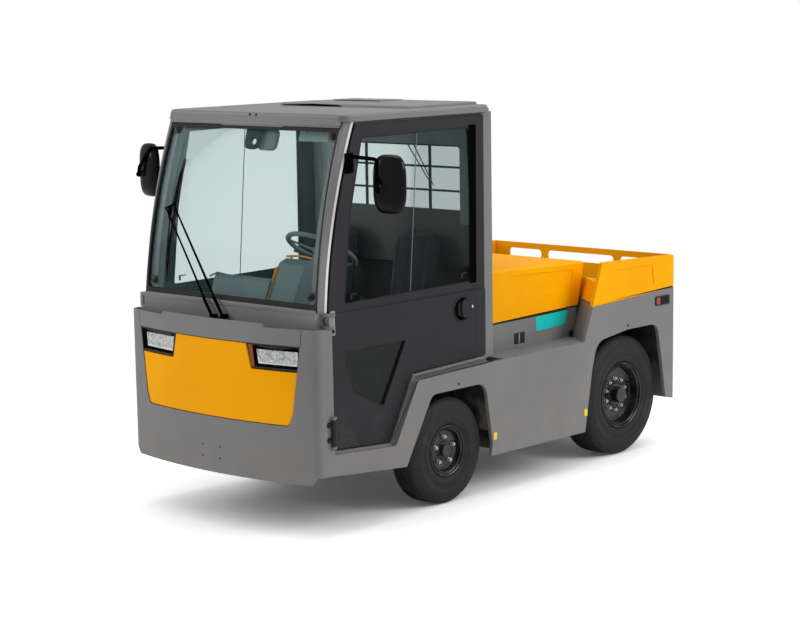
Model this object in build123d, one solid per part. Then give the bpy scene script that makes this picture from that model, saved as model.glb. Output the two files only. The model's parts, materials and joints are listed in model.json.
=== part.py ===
from build123d import *
import math
import os

# Airport baggage tug: an electric tow tractor with a closed cab, in millimetres.
# X is the vehicle's left, Y runs to the rear and Z is up. The drawing's origin is the floor under the middle
# of the front axle; every node is moved to the middle of the vehicle's length when it is written.

# Whole vehicle
WIDTH = 1320.0
WHEELBASE = 1513.5
FRONT_OVERHANG = 1067.5
REAR_OVERHANG = 436.5
COUPLING_REACH = 92.5
HALF = WIDTH / 2
FRONT = -FRONT_OVERHANG
REAR = WHEELBASE + REAR_OVERHANG
MIDDLE = (FRONT + REAR + COUPLING_REACH) / 2

# Plates and gaps
SKIN = 20.0
SHEET = 12.0
TRIM = 5.0
DOOR_GAP = 6.0
RUNNING = 0.05

# Wheels
FRONT_TYRE_R = 276.0
FRONT_TYRE_W = 170.0
FRONT_FLANGE_R = 134.0
REAR_TYRE_R = 338.0
REAR_TYRE_W = 216.0
REAR_FLANGE_R = 187.0
RIM_WALL = 18.0
WHEEL_FACE_X = HALF - 39.0
WHEEL_SIDES = 48
NUT_R = 12.0
FRONT_NUTS = 5
FRONT_NUT_CIRCLE = 140.0
REAR_NUTS = 10
REAR_NUT_CIRCLE = 178.0

# Front axle
KINGPIN_R = 16.0
KINGPIN_INSET = 107.0
KINGPIN_X = WHEEL_FACE_X - KINGPIN_INSET
AXLE_HALF_H = 65.0
SADDLE_H = 4.0
FORK_T = 20.0
FORK_HALF_Y = 28.0
FRONT_SPINDLE_R = 28.0

# Rear axle
REAR_SPINDLE_R = 30.0
AXLE_TUBE_R = 70.0

# Frame
FRONT_RAIL_X = 240.0
REAR_RAIL_X = 358.0
RAIL_W = 76.0
RAIL_H = 85.0
REAR_RAIL_Z = 420.0
TRAY_Z = 300.0
SILL_FOOT_Z = 215.0

# Body
SKIRT_Z = 200.0
LEDGE_Z = 697.0
FENDER_Z = 905.0
FENDER_DROP = 25.0
RAIL_RISE = 190.0
FENDER_FRONT = WHEELBASE - 409.5
FENDER_SWEEP = 125.0
CAB_REAR = 392.0
BAY_FRONT = CAB_REAR + 33.0
HOOD_HALF = 480.0
HOOD_FOOT = LEDGE_Z + 155.0
HOOD_FRONT_TOP = 1138.0
HOOD_REAR_TOP = 1106.0
HOOD_REAR = WHEELBASE - 223.5
HOOD_WALL = 9.0
BED_FRONT = HOOD_REAR + 68.0
BED_T = 12.0

# Front plate
CROWN = 84.5
CORNER_R = 46.0
CORNER_Y = FRONT + 127.5
PLATE_FOOT = 272.0
PLATE_TOP = 1020.0
CREST_RISE = 18.0
CREST_HALF = 352.0
COVER_HALF = 570.0
COVER_TOP = 940.0
COVER_FOOT = 550.0
LAMP_DEPTH = 122.0

# Cab
FIREWALL_Y = FRONT + 142.5
CAB_HALF = HALF - 62.0
FLOOR_Z = 432.0
SEAT_DECK_Z = LEDGE_Z
ROOF_TOP = 2040.0
ROOF_T = 55.0
ROOF_UNDER = ROOF_TOP - ROOF_T
ROOF_HALF = HALF - 31.0
ROOF_FRONT = FIREWALL_Y + 192.0
ROOF_REAR = CAB_REAR - 20.0
SCREEN_FOOT_Z = 1098.0
SCREEN_T = 6.0
SCREEN_BOW = 33.0
GASKET_W = 12.0
GASKET_FOOT = 30.0
PILLAR_DEPTH = 56.0
REAR_GLASS_Y = CAB_REAR - 62.0

# Doors
DOOR_OUT = CAB_HALF + 19.0
DOOR_T = 25.0
DOOR_IN = DOOR_OUT - DOOR_T
BELT_Z = 1078.0
DOOR_FRONT = FIREWALL_Y + 53.0
DOOR_REAR = CAB_REAR - 84.0
HINGE_X = HALF + 12.0
HINGE_Y = FIREWALL_Y + 32.0
HINGE_R = 12.0
HINGE_PIN_R = 6.0
HINGES = ((455.0, 585.0, HALF), (1034.0, 1078.0, CAB_HALF))


# Helpers
def box(x0, x1, y0, y1, z0, z1):
    return Pos(x0, y0, z0) * Box(x1 - x0, y1 - y0, z1 - z0, align=(Align.MIN, Align.MIN, Align.MIN))


def outline(points):
    """Closed flat outline; each point is (u, v) or (u, v, corner radius)."""
    radii = [p[2] if len(p) > 2 else 0 for p in points]
    return make_face(FilletPolyline(*[(p[0], p[1]) for p in points], radius=radii, close=True))


def side_plate(points, x0, x1):
    """Outline in (y, z), thick along X."""
    plane = Plane(origin=(x0, 0, 0), x_dir=(0, 1, 0), z_dir=(1, 0, 0))
    return extrude(plane * outline(points), amount=x1 - x0)


def cross_plate(points, y0, y1):
    """Outline in (x, z), thick along Y."""
    plane = Plane(origin=(0, y1, 0), x_dir=(1, 0, 0), z_dir=(0, -1, 0))
    return extrude(plane * outline(points), amount=y1 - y0)


def bar_x(y, z, r, x0, x1):
    return Pos((x0 + x1) / 2, y, z) * Rot(0, 90, 0) * Cylinder(r, x1 - x0)


def bar_y(x, z, r, y0, y1):
    return Pos(x, (y0 + y1) / 2, z) * Rot(90, 0, 0) * Cylinder(r, y1 - y0)


def bar_z(x, y, r, z0, z1):
    return Pos(x, y, (z0 + z1) / 2) * Cylinder(r, z1 - z0)


def rod(a, b, r):
    """Round bar between two points."""
    a, b = Vector(*a), Vector(*b)
    return Plane(origin=a, z_dir=b - a) * Pos(0, 0, (b - a).length / 2) * Cylinder(r, (b - a).length)


def fused(shapes):
    whole = None
    for shape in shapes:
        whole = shape if whole is None else whole + shape
    return whole


def other_side(shape):
    return mirror(shape, about=Plane.YZ)


def both(shape):
    return shape + other_side(shape)


def ring(profile, x, y, z, sides):
    """Ring with flat sides about a line along X; profile is (x, radius) round its section."""
    step = 2 * math.pi / sides
    wide = 1 / math.cos(step / 2)
    corners = []
    for i in range(sides):
        a = (i + 0.5) * step
        across, up = wide * math.sin(a), wide * math.cos(a)
        corners.append([Vector(x + d, y + r * across, z - r * up) for d, r in profile])
    faces = []
    n = len(profile)
    for i in range(sides):
        here, there = corners[i], corners[(i + 1) % sides]
        for j in range(n):
            k = (j + 1) % n
            faces.append(Face(Wire.make_polygon([here[j], here[k], there[k], there[j]])))
    return Solid(Shell(faces))


def line_at(a, b, z):
    """y on the line from a to b, each (y, z), at height z."""
    return a[0] + (b[0] - a[0]) * (z - a[1]) / (b[1] - a[1])


# Frame and axles
def make_frame():
    front_z = FRONT_TYRE_R + AXLE_HALF_H + SADDLE_H
    x0, x1 = FRONT_RAIL_X - RAIL_W / 2, FRONT_RAIL_X + RAIL_W / 2
    x2, x3 = REAR_RAIL_X - RAIL_W / 2, REAR_RAIL_X + RAIL_W / 2
    rear_y = FENDER_FRONT + 26
    tail_y = REAR - 2 * SKIN - 10
    front_rails = both(box(x0, x1, FIREWALL_Y, BAY_FRONT, front_z, front_z + RAIL_H))
    cross = box(-x0, x0, FIREWALL_Y, FIREWALL_Y + 60, front_z, front_z + RAIL_H)
    bulkhead = box(-HALF + SKIN, HALF - SKIN, CAB_REAR + 3, BAY_FRONT, SILL_FOOT_Z, LEDGE_Z - 7)
    tray = box(-540, 540, BAY_FRONT, rear_y, TRAY_Z, TRAY_Z + 25)
    sills = both(box(520, 600, BAY_FRONT, rear_y, SILL_FOOT_Z, TRAY_Z))
    rear_bulk = box(-x3, x3, rear_y, rear_y + 20, TRAY_Z, FENDER_Z - BED_T)
    rear_rails = both(box(x2, x3, rear_y + 20, tail_y, REAR_RAIL_Z, REAR_RAIL_Z + RAIL_H))
    tail = box(-x3, x3, tail_y, REAR - SKIN - 6, 290, 560)
    return front_rails + cross + bulkhead + tray + sills + rear_bulk + rear_rails + tail


def make_front_axle():
    z0, z1 = FRONT_TYRE_R - AXLE_HALF_H, FRONT_TYRE_R + AXLE_HALF_H
    inner = KINGPIN_X - KINGPIN_R - FORK_HALF_Y
    beam = box(-380, 380, -40, 40, z0, z1) - both(box(60, 350, -60, -30, z0 + 20, z1 - 20))
    saddle = both(box(FRONT_RAIL_X - 35, FRONT_RAIL_X + 35, -50, 50, z1, z1 + SADDLE_H))
    neck = box(380, inner, -FORK_HALF_Y, FORK_HALF_Y, z0, z1)
    ears = []
    for z in (z0, z1 - FORK_T):
        ears.append(box(inner, KINGPIN_X, -FORK_HALF_Y, FORK_HALF_Y, z, z + FORK_T))
        ears.append(bar_z(KINGPIN_X, 0, FORK_HALF_Y, z, z + FORK_T))
    fork = fused(ears) - bar_z(KINGPIN_X, 0, KINGPIN_R + RUNNING, z0 - 5, z1 + 5)
    cylinder = bar_x(75, FRONT_TYRE_R, 34, -150, 150) + bar_x(75, FRONT_TYRE_R, 16, -285, 285)
    clamps = both(box(80, 110, 40, 60, FRONT_TYRE_R - 34, FRONT_TYRE_R + 34))
    return beam + saddle + both(neck + fork) + cylinder + clamps


def make_knuckle():
    z0, z1 = FRONT_TYRE_R - AXLE_HALF_H, FRONT_TYRE_R + AXLE_HALF_H
    barrel = bar_z(KINGPIN_X, 0, FORK_HALF_Y, z0 + FORK_T + 1, z1 - FORK_T - 1)
    pin = bar_z(KINGPIN_X, 0, KINGPIN_R, z0 - 1, z1 + 1)
    spindle = bar_x(0, FRONT_TYRE_R, FRONT_SPINDLE_R, KINGPIN_X, WHEEL_FACE_X - 12)
    flange = bar_x(0, FRONT_TYRE_R, 42, KINGPIN_X + 32, KINGPIN_X + 44)
    return barrel + pin + spindle + flange


def make_rear_axle():
    y, z = WHEELBASE, REAR_TYRE_R
    tube = bar_x(y, z, AXLE_TUBE_R, -REAR_RAIL_X - 44, REAR_RAIL_X + 44)
    spindle = bar_x(y, z, REAR_SPINDLE_R, -WHEEL_FACE_X + 14, WHEEL_FACE_X - 14)
    drums = both(bar_x(y, z, 120, REAR_RAIL_X + RAIL_W / 2 + 2, WHEEL_FACE_X - REAR_TYRE_W + 6))
    case = box(-130, 130, y - 140, y + 140, z - 148, z + 77)
    case = fillet(case.edges().filter_by(Axis.X), 50)
    motor = bar_y(0, z + 2, 105, y - 330, y - 140)
    pads = both(box(REAR_RAIL_X - 33, REAR_RAIL_X + 31, y - 50, y + 50, z, REAR_RAIL_Z))
    return tube + spindle + drums + case + motor + pads


BATTERY_INSET = 70.0


def make_battery():
    half = HOOD_HALF - BATTERY_INSET
    return box(-half, half, BAY_FRONT + 10, FENDER_FRONT + 16, TRAY_Z + 25, HOOD_REAR_TOP - 36)


# Wheels
def tyre_profile(r, w, flange):
    h = w / 2
    seat = flange - RIM_WALL
    left = [(-0.80 * h, seat), (-0.80 * h, flange + 2), (-h, flange + 0.36 * (r - flange)),
            (-h, flange + 0.58 * (r - flange)), (-0.88 * h, r - 18), (-0.64 * h, r)]
    return left + [(-a, b) for a, b in reversed(left)]


def rim_profile(w, flange, hub_r, dish):
    """Section from the inner flange over the barrel to the disc and the hub, and back to the outer flange."""
    h = w / 2
    seat = flange - RIM_WALL
    return [(-0.80 * h, seat), (-0.80 * h, flange), (-0.92 * h, flange), (-0.92 * h, seat - 12),
            (dish - 28, seat - 12), (dish - 14, seat - 26), (dish - 14, hub_r), (dish + 18, hub_r),
            (dish + 18, hub_r + 20), (dish, hub_r + 22), (dish, seat - 26), (dish + 12, seat - 10),
            (0.92 * h, seat - 6), (0.92 * h, flange), (0.80 * h, flange), (0.80 * h, seat)]


def nuts(count, circle, x0, x1, y, z):
    around = []
    for i in range(count):
        a = math.radians(90 + 360 * i / count)
        place = Pos(x0, y + circle / 2 * math.cos(a), z + circle / 2 * math.sin(a)) * Rot(0, 90, 0)
        around.append(place * extrude(RegularPolygon(NUT_R, 6), amount=x1 - x0))
    return fused(around)


def make_front_tyre():
    return ring(tyre_profile(FRONT_TYRE_R, FRONT_TYRE_W, FRONT_FLANGE_R), WHEEL_FACE_X - FRONT_TYRE_W / 2, 0,
                FRONT_TYRE_R, WHEEL_SIDES)


def make_rear_tyre():
    return ring(tyre_profile(REAR_TYRE_R, REAR_TYRE_W, REAR_FLANGE_R), WHEEL_FACE_X - REAR_TYRE_W / 2,
                WHEELBASE,
                REAR_TYRE_R, WHEEL_SIDES)


def make_front_rim():
    mid = WHEEL_FACE_X - FRONT_TYRE_W / 2
    dish = 44.0
    body = ring(rim_profile(FRONT_TYRE_W, FRONT_FLANGE_R, FRONT_SPINDLE_R + 0.3, dish), mid, 0,
                FRONT_TYRE_R, WHEEL_SIDES)
    return body + nuts(FRONT_NUTS, FRONT_NUT_CIRCLE, mid + dish, mid + dish + 15, 0, FRONT_TYRE_R)


def make_rear_rim():
    mid = WHEEL_FACE_X - REAR_TYRE_W / 2
    dish = 40.0
    body = ring(rim_profile(REAR_TYRE_W, REAR_FLANGE_R, REAR_SPINDLE_R + 0.3, dish), mid, WHEELBASE,
                REAR_TYRE_R, WHEEL_SIDES)
    return body + nuts(REAR_NUTS, REAR_NUT_CIRCLE, mid + dish, mid + dish + 15, WHEELBASE, REAR_TYRE_R)


# Front plate, cover and lamps
def nose_block(inward, z0, z1):
    """Solid of the nose's plan shape, its front face and sides moved inward."""
    h, tip, back = HALF - inward, FRONT + inward, CORNER_Y + (40 if inward else 0)
    arc = ThreePointArc((-h, tip + CROWN), (0, tip), (h, tip + CROWN))
    sides = Polyline((h, tip + CROWN), (h, back), (-h, back), (-h, tip + CROWN))
    block = extrude(Plane.XY.offset(z0) * make_face([arc, sides]), amount=z1 - z0)
    edges = [e for e in block.edges().filter_by(Axis.Z) if abs(e.center().Y - tip - CROWN) < 1]
    return fillet(edges, max(CORNER_R - inward, TRIM))


def nose_sheet(points, outer, inner):
    """What an outline in (x, z) cuts from the nose, between two depths."""
    z0, z1 = min(p[1] for p in points) - 1, max(p[1] for p in points) + 1
    sheet = nose_block(outer, z0, z1) - nose_block(inner, z0 - 1, z1 + 1)
    return sheet & cross_plate(points, FRONT - 20, CORNER_Y - 20)


def window_points(spread):
    """Corners of the plate's opening for cover and lamps, grown by spread."""
    s = spread
    low, top = COVER_HALF - 50, COVER_HALF - 4
    return [(-low + 24 - s, COVER_FOOT - s, 26 + s), (low - 24 + s, COVER_FOOT - s, 26 + s),
            (low + s, COVER_FOOT + 60, 0),
            (top + s, COVER_TOP + s), (-top - s, COVER_TOP + s), (-low - s, COVER_FOOT + 60, 0)]


def lamp_points(gap):
    """One lamp's opening, left side."""
    low, top = COVER_TOP - LAMP_DEPTH, COVER_TOP
    return [(COVER_HALF / 2 - 4 + gap, low + gap, 10), (COVER_HALF - 24 - gap, low + gap),
            (COVER_HALF - 7 - gap, top),
            (COVER_HALF / 2 - 34 + gap, top)]


def make_front_plate():
    crest = PLATE_TOP + CREST_RISE
    face = [(-HALF - 5, PLATE_FOOT + 39), (-HALF + 20, PLATE_FOOT + 39), (-HALF + 50, PLATE_FOOT, 12),
            (HALF - 50, PLATE_FOOT, 12), (HALF - 20, PLATE_FOOT + 39), (HALF + 5, PLATE_FOOT + 39),
            (HALF + 5, PLATE_TOP), (CREST_HALF + 12, PLATE_TOP), (CREST_HALF, crest), (-CREST_HALF, crest),
            (-CREST_HALF - 12, PLATE_TOP),
            (-HALF - 5, PLATE_TOP)]
    shell = nose_block(0, PLATE_FOOT, crest) - nose_block(SHEET, PLATE_FOOT - 1, crest + 1)
    shell &= cross_plate(face, FRONT - 20, CORNER_Y)
    shell -= cross_plate(window_points(0), FRONT - 20, CORNER_Y - 20)
    frame = nose_sheet(window_points(14), SHEET, 34) - cross_plate(window_points(0), FRONT - 20, CORNER_Y)
    stop = nose_sheet(window_points(14), 26, 34) - cross_plate(window_points(-20), FRONT - 20, CORNER_Y)
    stop &= box(-HALF, HALF, FRONT - 20, CORNER_Y, COVER_FOOT - 20, COVER_TOP - LAMP_DEPTH - 6)
    holes = fused([bar_y(x, z, PLATE_HOLE_R, FRONT - 20, FRONT + 40) for x, z in plate_holes()])
    return shell + frame + stop - holes


PLATE_HOLE_R = 5.5
PLATE_HOLE_X = 61.0
PLATE_HOLE_Z = 347.0
PLATE_HOLE_RISE = 58.0


def plate_holes():
    heights = (PLATE_HOLE_Z, PLATE_HOLE_Z + PLATE_HOLE_RISE)
    return [(x, z) for x in (-PLATE_HOLE_X, PLATE_HOLE_X) for z in heights]


def make_front_cover():
    sheet = nose_sheet(window_points(-4), 3, 26) - both(cross_plate(lamp_points(-5), FRONT - 20, CORNER_Y))
    return sheet - box(-COVER_HALF, COVER_HALF, FRONT - 20, CORNER_Y, COVER_TOP - 5, COVER_TOP + 5)


def lens_points():
    low, top = COVER_TOP - LAMP_DEPTH + 22, COVER_TOP - 24
    return [(COVER_HALF / 2 + 44, low), (COVER_HALF - 28, low), (COVER_HALF - 18, top),
            (COVER_HALF / 2 + 32, top)]


def make_lamp_housings():
    pocket = cross_plate(lens_points(), FRONT - 20, CORNER_Y)
    body = nose_sheet(lamp_points(0), 5, 62) - (pocket & nose_block(0, 700, 1000) - nose_block(34, 699, 1001))
    return both(body)


def make_lamp_lenses():
    return both(nose_sheet(lens_points(), 12, 34))


# Sides
def front_arch():
    """Edge of the steered wheel's opening, (y, z, radius), from the front foot round to the rear foot."""
    r = FRONT_TYRE_R
    return [(-r - 88, r - 14), (-r + 111, 2 * r + 44, 60), (r - 22, 2 * r + 44, 75), (r + 32, r - 8),
            (r + 20, SKIRT_Z + 3)]


def rear_arch():
    y, r = WHEELBASE, REAR_TYRE_R
    return [(y - r - 69.5, SKIRT_Z - 3), (y - r - 3.5, r + 202, 160), (y - r + 42.5, r + 346, 100),
            (y - 8.5, r + 379),
            (y + r - 61.5, r + 378, 70), (y + r - 13.5, r + 142, 160), (y + r + 21.5, r - 61)]


def sill_line():
    """Upper edge of the grey side under the door, front to rear."""
    return [(DOOR_FRONT - 6, 409), (-440, 380, 20), (-268, LEDGE_Z - 12, 24), (325, LEDGE_Z)]


def make_side():
    edge = [(CORNER_Y, 311)] + front_arch() + rear_arch()
    edge += [(REAR - 4, 261), (REAR, FENDER_Z), (FENDER_FRONT + 74, FENDER_Z - FENDER_DROP, 12),
             (FENDER_FRONT, LEDGE_Z)]
    edge += list(reversed(sill_line())) + [(DOOR_FRONT - 10, PLATE_TOP), (CORNER_Y, PLATE_TOP)]
    skin = side_plate(edge, HALF - SKIN, HALF)
    x0, x1 = HOOD_HALF - 20, HALF - SKIN
    shelf = [(x0, BAY_FRONT), (x1, BAY_FRONT), (x1, FENDER_FRONT), (x1 - 128, FENDER_FRONT + 100),
             (x0, FENDER_FRONT + 100)]
    ledge = Pos(0, 0, LEDGE_Z - SHEET) * extrude(outline(shelf), amount=SHEET)
    post = box(CAB_HALF + 8, HALF - SKIN, CORNER_Y, FIREWALL_Y, 405, PLATE_TOP)
    foot = [(y + 3, z - SHEET) for y, z, *_ in reversed(sill_line())]
    flange = side_plate([p[:2] for p in sill_line()] + foot, CAB_HALF - 12, HALF - SKIN)
    riser = side_plate(door_foot(19) + foot, CAB_HALF - 12, DOOR_OUT - 5)
    strip = side_plate(door_foot(DOOR_GAP) + list(reversed(door_foot(19))), CAB_HALF - 12, DOOR_OUT + 9)
    return skin + ledge + post + flange + riser + strip + hinge_lugs(*HINGES[0])


def hinge_lugs(z0, z1, wall_x):
    """Fixed half of a door hinge: two lugs with the pin between them."""
    lugs = [bar_z(HINGE_X, HINGE_Y, HINGE_PIN_R, z0 - 7, z1 + 7)]
    for z in (z0 - 14, z1):
        lugs.append(box(wall_x, HINGE_X, HINGE_Y - HINGE_R, HINGE_Y + HINGE_R / 2, z, z + 14))
        lugs.append(bar_z(HINGE_X, HINGE_Y, HINGE_R, z, z + 14))
    return fused(lugs)


def arch_band(points, x0, x1, cy, foot):
    """Liner outside an arch's edge, down to a foot height."""
    inner = [(line_at(points[1], points[0], foot), foot)] + [p[:2] for p in points[1:-1]]
    inner.append((line_at(points[-2], points[-1], foot), foot))
    outer = [(y + (TRIM if y > cy else -TRIM), z + TRIM) for y, z in inner]
    return side_plate(inner + list(reversed(outer)), x0, x1)


def make_liners():
    front = arch_band(front_arch()[:-1], FRONT_LINER_X, HALF - SKIN, 0, FRONT_TYRE_R + 60)
    inner = WHEEL_FACE_X - REAR_TYRE_W - 7
    rear = arch_band(rear_arch(), inner, HALF - SKIN, WHEELBASE, REAR_TYRE_R + 100)
    y, r = WHEELBASE, REAR_TYRE_R
    wall = side_plate([(y - r + 20, r + 190), (y - r + 42, r + 345), (y - 8, r + 378), (y + r - 64, r + 376),
                       (y + r - 22, r + 190)], inner - 6, inner)
    return both(front) + both(rear + wall)


FRONT_LINER_X = 430.0


# Cab
SCREEN_FOOT = (FIREWALL_Y + 5, SCREEN_FOOT_Z)
SCREEN_HEAD = (ROOF_FRONT + 17, ROOF_UNDER - 19)
SCREEN_TILT = math.atan2(SCREEN_HEAD[0] - SCREEN_FOOT[0], SCREEN_HEAD[1] - SCREEN_FOOT[1])
SCREEN_LENGTH = math.hypot(SCREEN_HEAD[0] - SCREEN_FOOT[0], SCREEN_HEAD[1] - SCREEN_FOOT[1])
SCREEN_R = (SCREEN_LENGTH ** 2 / 4 + SCREEN_BOW ** 2) / (2 * SCREEN_BOW)
SCREEN_MID_Y = (SCREEN_FOOT[0] + SCREEN_HEAD[0]) / 2 + math.cos(SCREEN_TILT) * (SCREEN_R - SCREEN_BOW)
SCREEN_MID_Z = (SCREEN_FOOT[1] + SCREEN_HEAD[1]) / 2 - math.sin(SCREEN_TILT) * (SCREEN_R - SCREEN_BOW)


def screen_y(z, d):
    """y at height z, distance d in front of the bowed windscreen."""
    return SCREEN_MID_Y - math.sqrt((SCREEN_R + d) ** 2 - (z - SCREEN_MID_Z) ** 2)


def screen_band(z0, z1, d0, d1, x0, x1):
    """Part of the bowed windscreen's surface between two heights, thick from d0 out to d1."""
    middle = (z0 + z1) / 2
    back = ThreePointArc(*[(screen_y(z, d0), z) for z in (z0, middle, z1)])
    front = ThreePointArc(*[(screen_y(z, d1), z) for z in (z1, middle, z0)])
    face = make_face([back, Line(back @ 1, front @ 0), front, Line(front @ 1, back @ 0)])
    return extrude(Plane(origin=(x0, 0, 0), x_dir=(0, 1, 0), z_dir=(1, 0, 0)) * face, amount=x1 - x0)


def screen_outline(side, foot, head, r):
    """Windscreen seen from the front, its edges moved inward."""
    low, top = CAB_HALF + 9 - side, CAB_HALF - 8 - side
    z0, z1 = SCREEN_FOOT[1] + foot, SCREEN_HEAD[1] - head
    corners = [(-low, z0, r), (low, z0, r), (top, z1, r), (-top, z1, r)]
    return cross_plate(corners, FIREWALL_Y - 60, ROOF_FRONT + 90)


def on_screen(x, share, d):
    """Point over the windscreen, at a share of its height, distance d in front of it."""
    z = SCREEN_FOOT[1] + share * (SCREEN_HEAD[1] - SCREEN_FOOT[1])
    return (x, screen_y(z, d), z)


def screen_sheet(d0, d1):
    """Bowed sheet a little taller than the windscreen, to be cut to an outline."""
    return screen_band(SCREEN_FOOT[1] - TRIM, SCREEN_HEAD[1] + TRIM, d0, d1, -HALF, HALF)


def make_gasket():
    frame = screen_sheet(-14, 6) & screen_outline(0, 0, 0, 34)
    return frame - screen_outline(GASKET_W, GASKET_FOOT, GASKET_FOOT, 26)


def rear_window(d):
    """Outline of the rear window, grown by d."""
    z0, z1 = ROOF_UNDER - 517, ROOF_UNDER - 185
    return [(-482 - d, z0 - d, 20), (482 + d, z0 - d, 20), (444 + d, z1 + d, 20), (-444 - d, z1 + d, 20)]


def make_cab_glass():
    screen = screen_sheet(-8, -8 + SCREEN_T) & screen_outline(GASKET_W, GASKET_FOOT, GASKET_FOOT, 26)
    return screen + cross_plate(rear_window(0), REAR_GLASS_Y - 8, REAR_GLASS_Y - 3)


def make_wiper_and_guard():
    y = REAR_GLASS_Y
    bars = cross_plate(rear_window(14), y, y + 14) - cross_plate(rear_window(-6), y - 9, y + 20)
    clip = cross_plate(rear_window(0), y - 9, y + 20)
    for z in (ROOF_UNDER - 418, ROOF_UNDER - 294):
        bars += box(-500, 500, y + 1, y + 13, z - 8, z + 8) & clip
    for x in (-GUARD_BAR_X, GUARD_BAR_X):
        bars += box(x - 8, x + 8, y + 1, y + 13, ROOF_UNDER - 530, ROOF_UNDER - 170) & clip
    pivots = [(-14, CORNER_Y - 25, 1031), (-92, CORNER_Y - 25, 1024)]
    knees = [on_screen(-420, 0.469, 34), on_screen(-475, 0.417, 34)]
    arms = [rod(pivots[0], knees[0], 6), rod(pivots[1], knees[1], 6), rod(knees[0], knees[1], 9)]
    blade = [rod(on_screen(-447, 0.788, 18), on_screen(-450, 0.442, 22), 8),
             rod(on_screen(-450, 0.442, 22), on_screen(-457, 0.084, 18), 8),
             rod(on_screen(-449, 0.442, 40), on_screen(-450, 0.442, 22), 7)]
    shafts = [bar_y(x, z, 10, y - 7, CORNER_Y) for x, y, z in pivots]
    return fused(arms + blade + shafts) + bars


GUARD_BAR_X = 226.0


def make_cab_frame():
    z0 = BELT_Z + 7
    pillar = screen_band(z0, ROOF_UNDER, -PILLAR_DEPTH, -14, CAB_HALF - 53, CAB_HALF + 4)
    foot = box(CAB_HALF - 38, CAB_HALF + 4, FIREWALL_Y, DOOR_FRONT - 10, FLOOR_Z + 15, z0)
    rear_post = box(CAB_HALF - 68, CAB_HALF, DOOR_REAR + 10, CAB_REAR, SEAT_DECK_Z + 15, ROOF_UNDER)
    rail = box(CAB_HALF - 48, CAB_HALF - 8, ROOF_FRONT + 60, DOOR_REAR + 10, ROOF_UNDER - 25, ROOF_UNDER)
    header = box(-CAB_HALF + 8, CAB_HALF - 8, ROOF_FRONT + 33, ROOF_FRONT + 76, ROOF_UNDER - 25, ROOF_UNDER)
    inner = CAB_HALF - 68
    low_wall = box(-inner, inner, CAB_REAR - SHEET, CAB_REAR, SEAT_DECK_Z, WALL_STEP_Z)
    step = box(-inner, inner, REAR_GLASS_Y - SHEET, CAB_REAR, WALL_STEP_Z - SHEET, WALL_STEP_Z)
    wall = box(-inner, inner, REAR_GLASS_Y - SHEET, REAR_GLASS_Y, WALL_STEP_Z - SHEET, ROOF_UNDER)
    wall -= cross_plate(rear_window(0), REAR_GLASS_Y - 30, REAR_GLASS_Y + 10)
    sides = pillar + foot + rear_post + rail + hinge_lugs(*HINGES[1])
    return both(sides) + header + low_wall + step + wall + hood_brackets()


WALL_STEP_Z = HOOD_FRONT_TOP + 52.0


def hood_brackets():
    """Hinge lugs and pins of the battery hood, on the back of the cab."""
    y, z = HOOD_PIN
    parts = []
    for x in (-HOOD_HINGE_X, HOOD_HINGE_X):
        parts.append(bar_x(y, z, 5, x - 34, x + 34))
        for side in (-34, 24):
            parts.append(box(x + side, x + side + 10, CAB_REAR, y + 8, z - 8, z + 8))
    return fused(parts)


HOOD_PIN = (CAB_REAR + 14, HOOD_FRONT_TOP + 16)
HOOD_HINGE_X = 300.0


def make_cowl():
    return box(-CAB_HALF - 6, CAB_HALF + 6, CORNER_Y, FIREWALL_Y, 405, SCREEN_FOOT_Z - 12)


def make_cab_floor():
    well = [(FIREWALL_Y, FLOOR_Z), (-408, FLOOR_Z), (-290, SEAT_DECK_Z), (CAB_REAR - SHEET, SEAT_DECK_Z),
            (CAB_REAR - SHEET, SEAT_DECK_Z + 15), (-300, SEAT_DECK_Z + 15), (-418, FLOOR_Z + 15),
            (FIREWALL_Y, FLOOR_Z + 15)]
    return side_plate(well, -CAB_HALF + 12, CAB_HALF - 12)


def make_roof():
    lip = box(-ROOF_HALF, ROOF_HALF, ROOF_FRONT, ROOF_REAR, ROOF_UNDER, ROOF_UNDER + 18)
    lip = fillet(lip.edges().filter_by(Axis.Z), 55)
    cap = box(-ROOF_HALF + 7, ROOF_HALF - 7, ROOF_FRONT + 2, ROOF_REAR - 4, ROOF_UNDER + 18, ROOF_TOP - 19)
    cap = fillet(cap.edges().filter_by(Axis.Z), 50)
    cap = fillet(cap.faces().sort_by(Axis.Z)[-1].edges(), 15)
    panel = box(-360, ROOF_HALF - 90, ROOF_REAR - 542, ROOF_REAR - 24, ROOF_TOP - 19, ROOF_TOP - 5)
    panel = chamfer(panel.faces().sort_by(Axis.Z)[-1].edges(), 6)
    hatch = box(-270, 75, ROOF_REAR - 242, ROOF_REAR - 72, ROOF_TOP - 5, ROOF_TOP)
    hollow = box(-CAB_HALF + 50, CAB_HALF - 50, ROOF_FRONT + 90, ROOF_REAR - 60, ROOF_UNDER - 1,
                 ROOF_TOP - 30)
    low, mid = ROOF_UNDER - 16, ROOF_UNDER - 33
    brow = cross_plate([(-600, ROOF_UNDER), (-600, low), (-230, low), (-214, mid), (214, mid), (230, low),
                        (600, low),
                        (600, ROOF_UNDER)], ROOF_FRONT, ROOF_FRONT + 4)
    return lip + cap + panel + hatch - hollow + brow


# Cab inside
WHEEL_AT = (230.0, FIREWALL_Y + 429, FLOOR_Z + 898)
COLUMN_LEAN = math.radians(32)
WHEEL_R = 178.0
COLUMN_SHAFT_R = 10.0


def along_column(t):
    return (WHEEL_AT[0], WHEEL_AT[1] + math.sin(COLUMN_LEAN) * t, WHEEL_AT[2] + math.cos(COLUMN_LEAN) * t)


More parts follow.
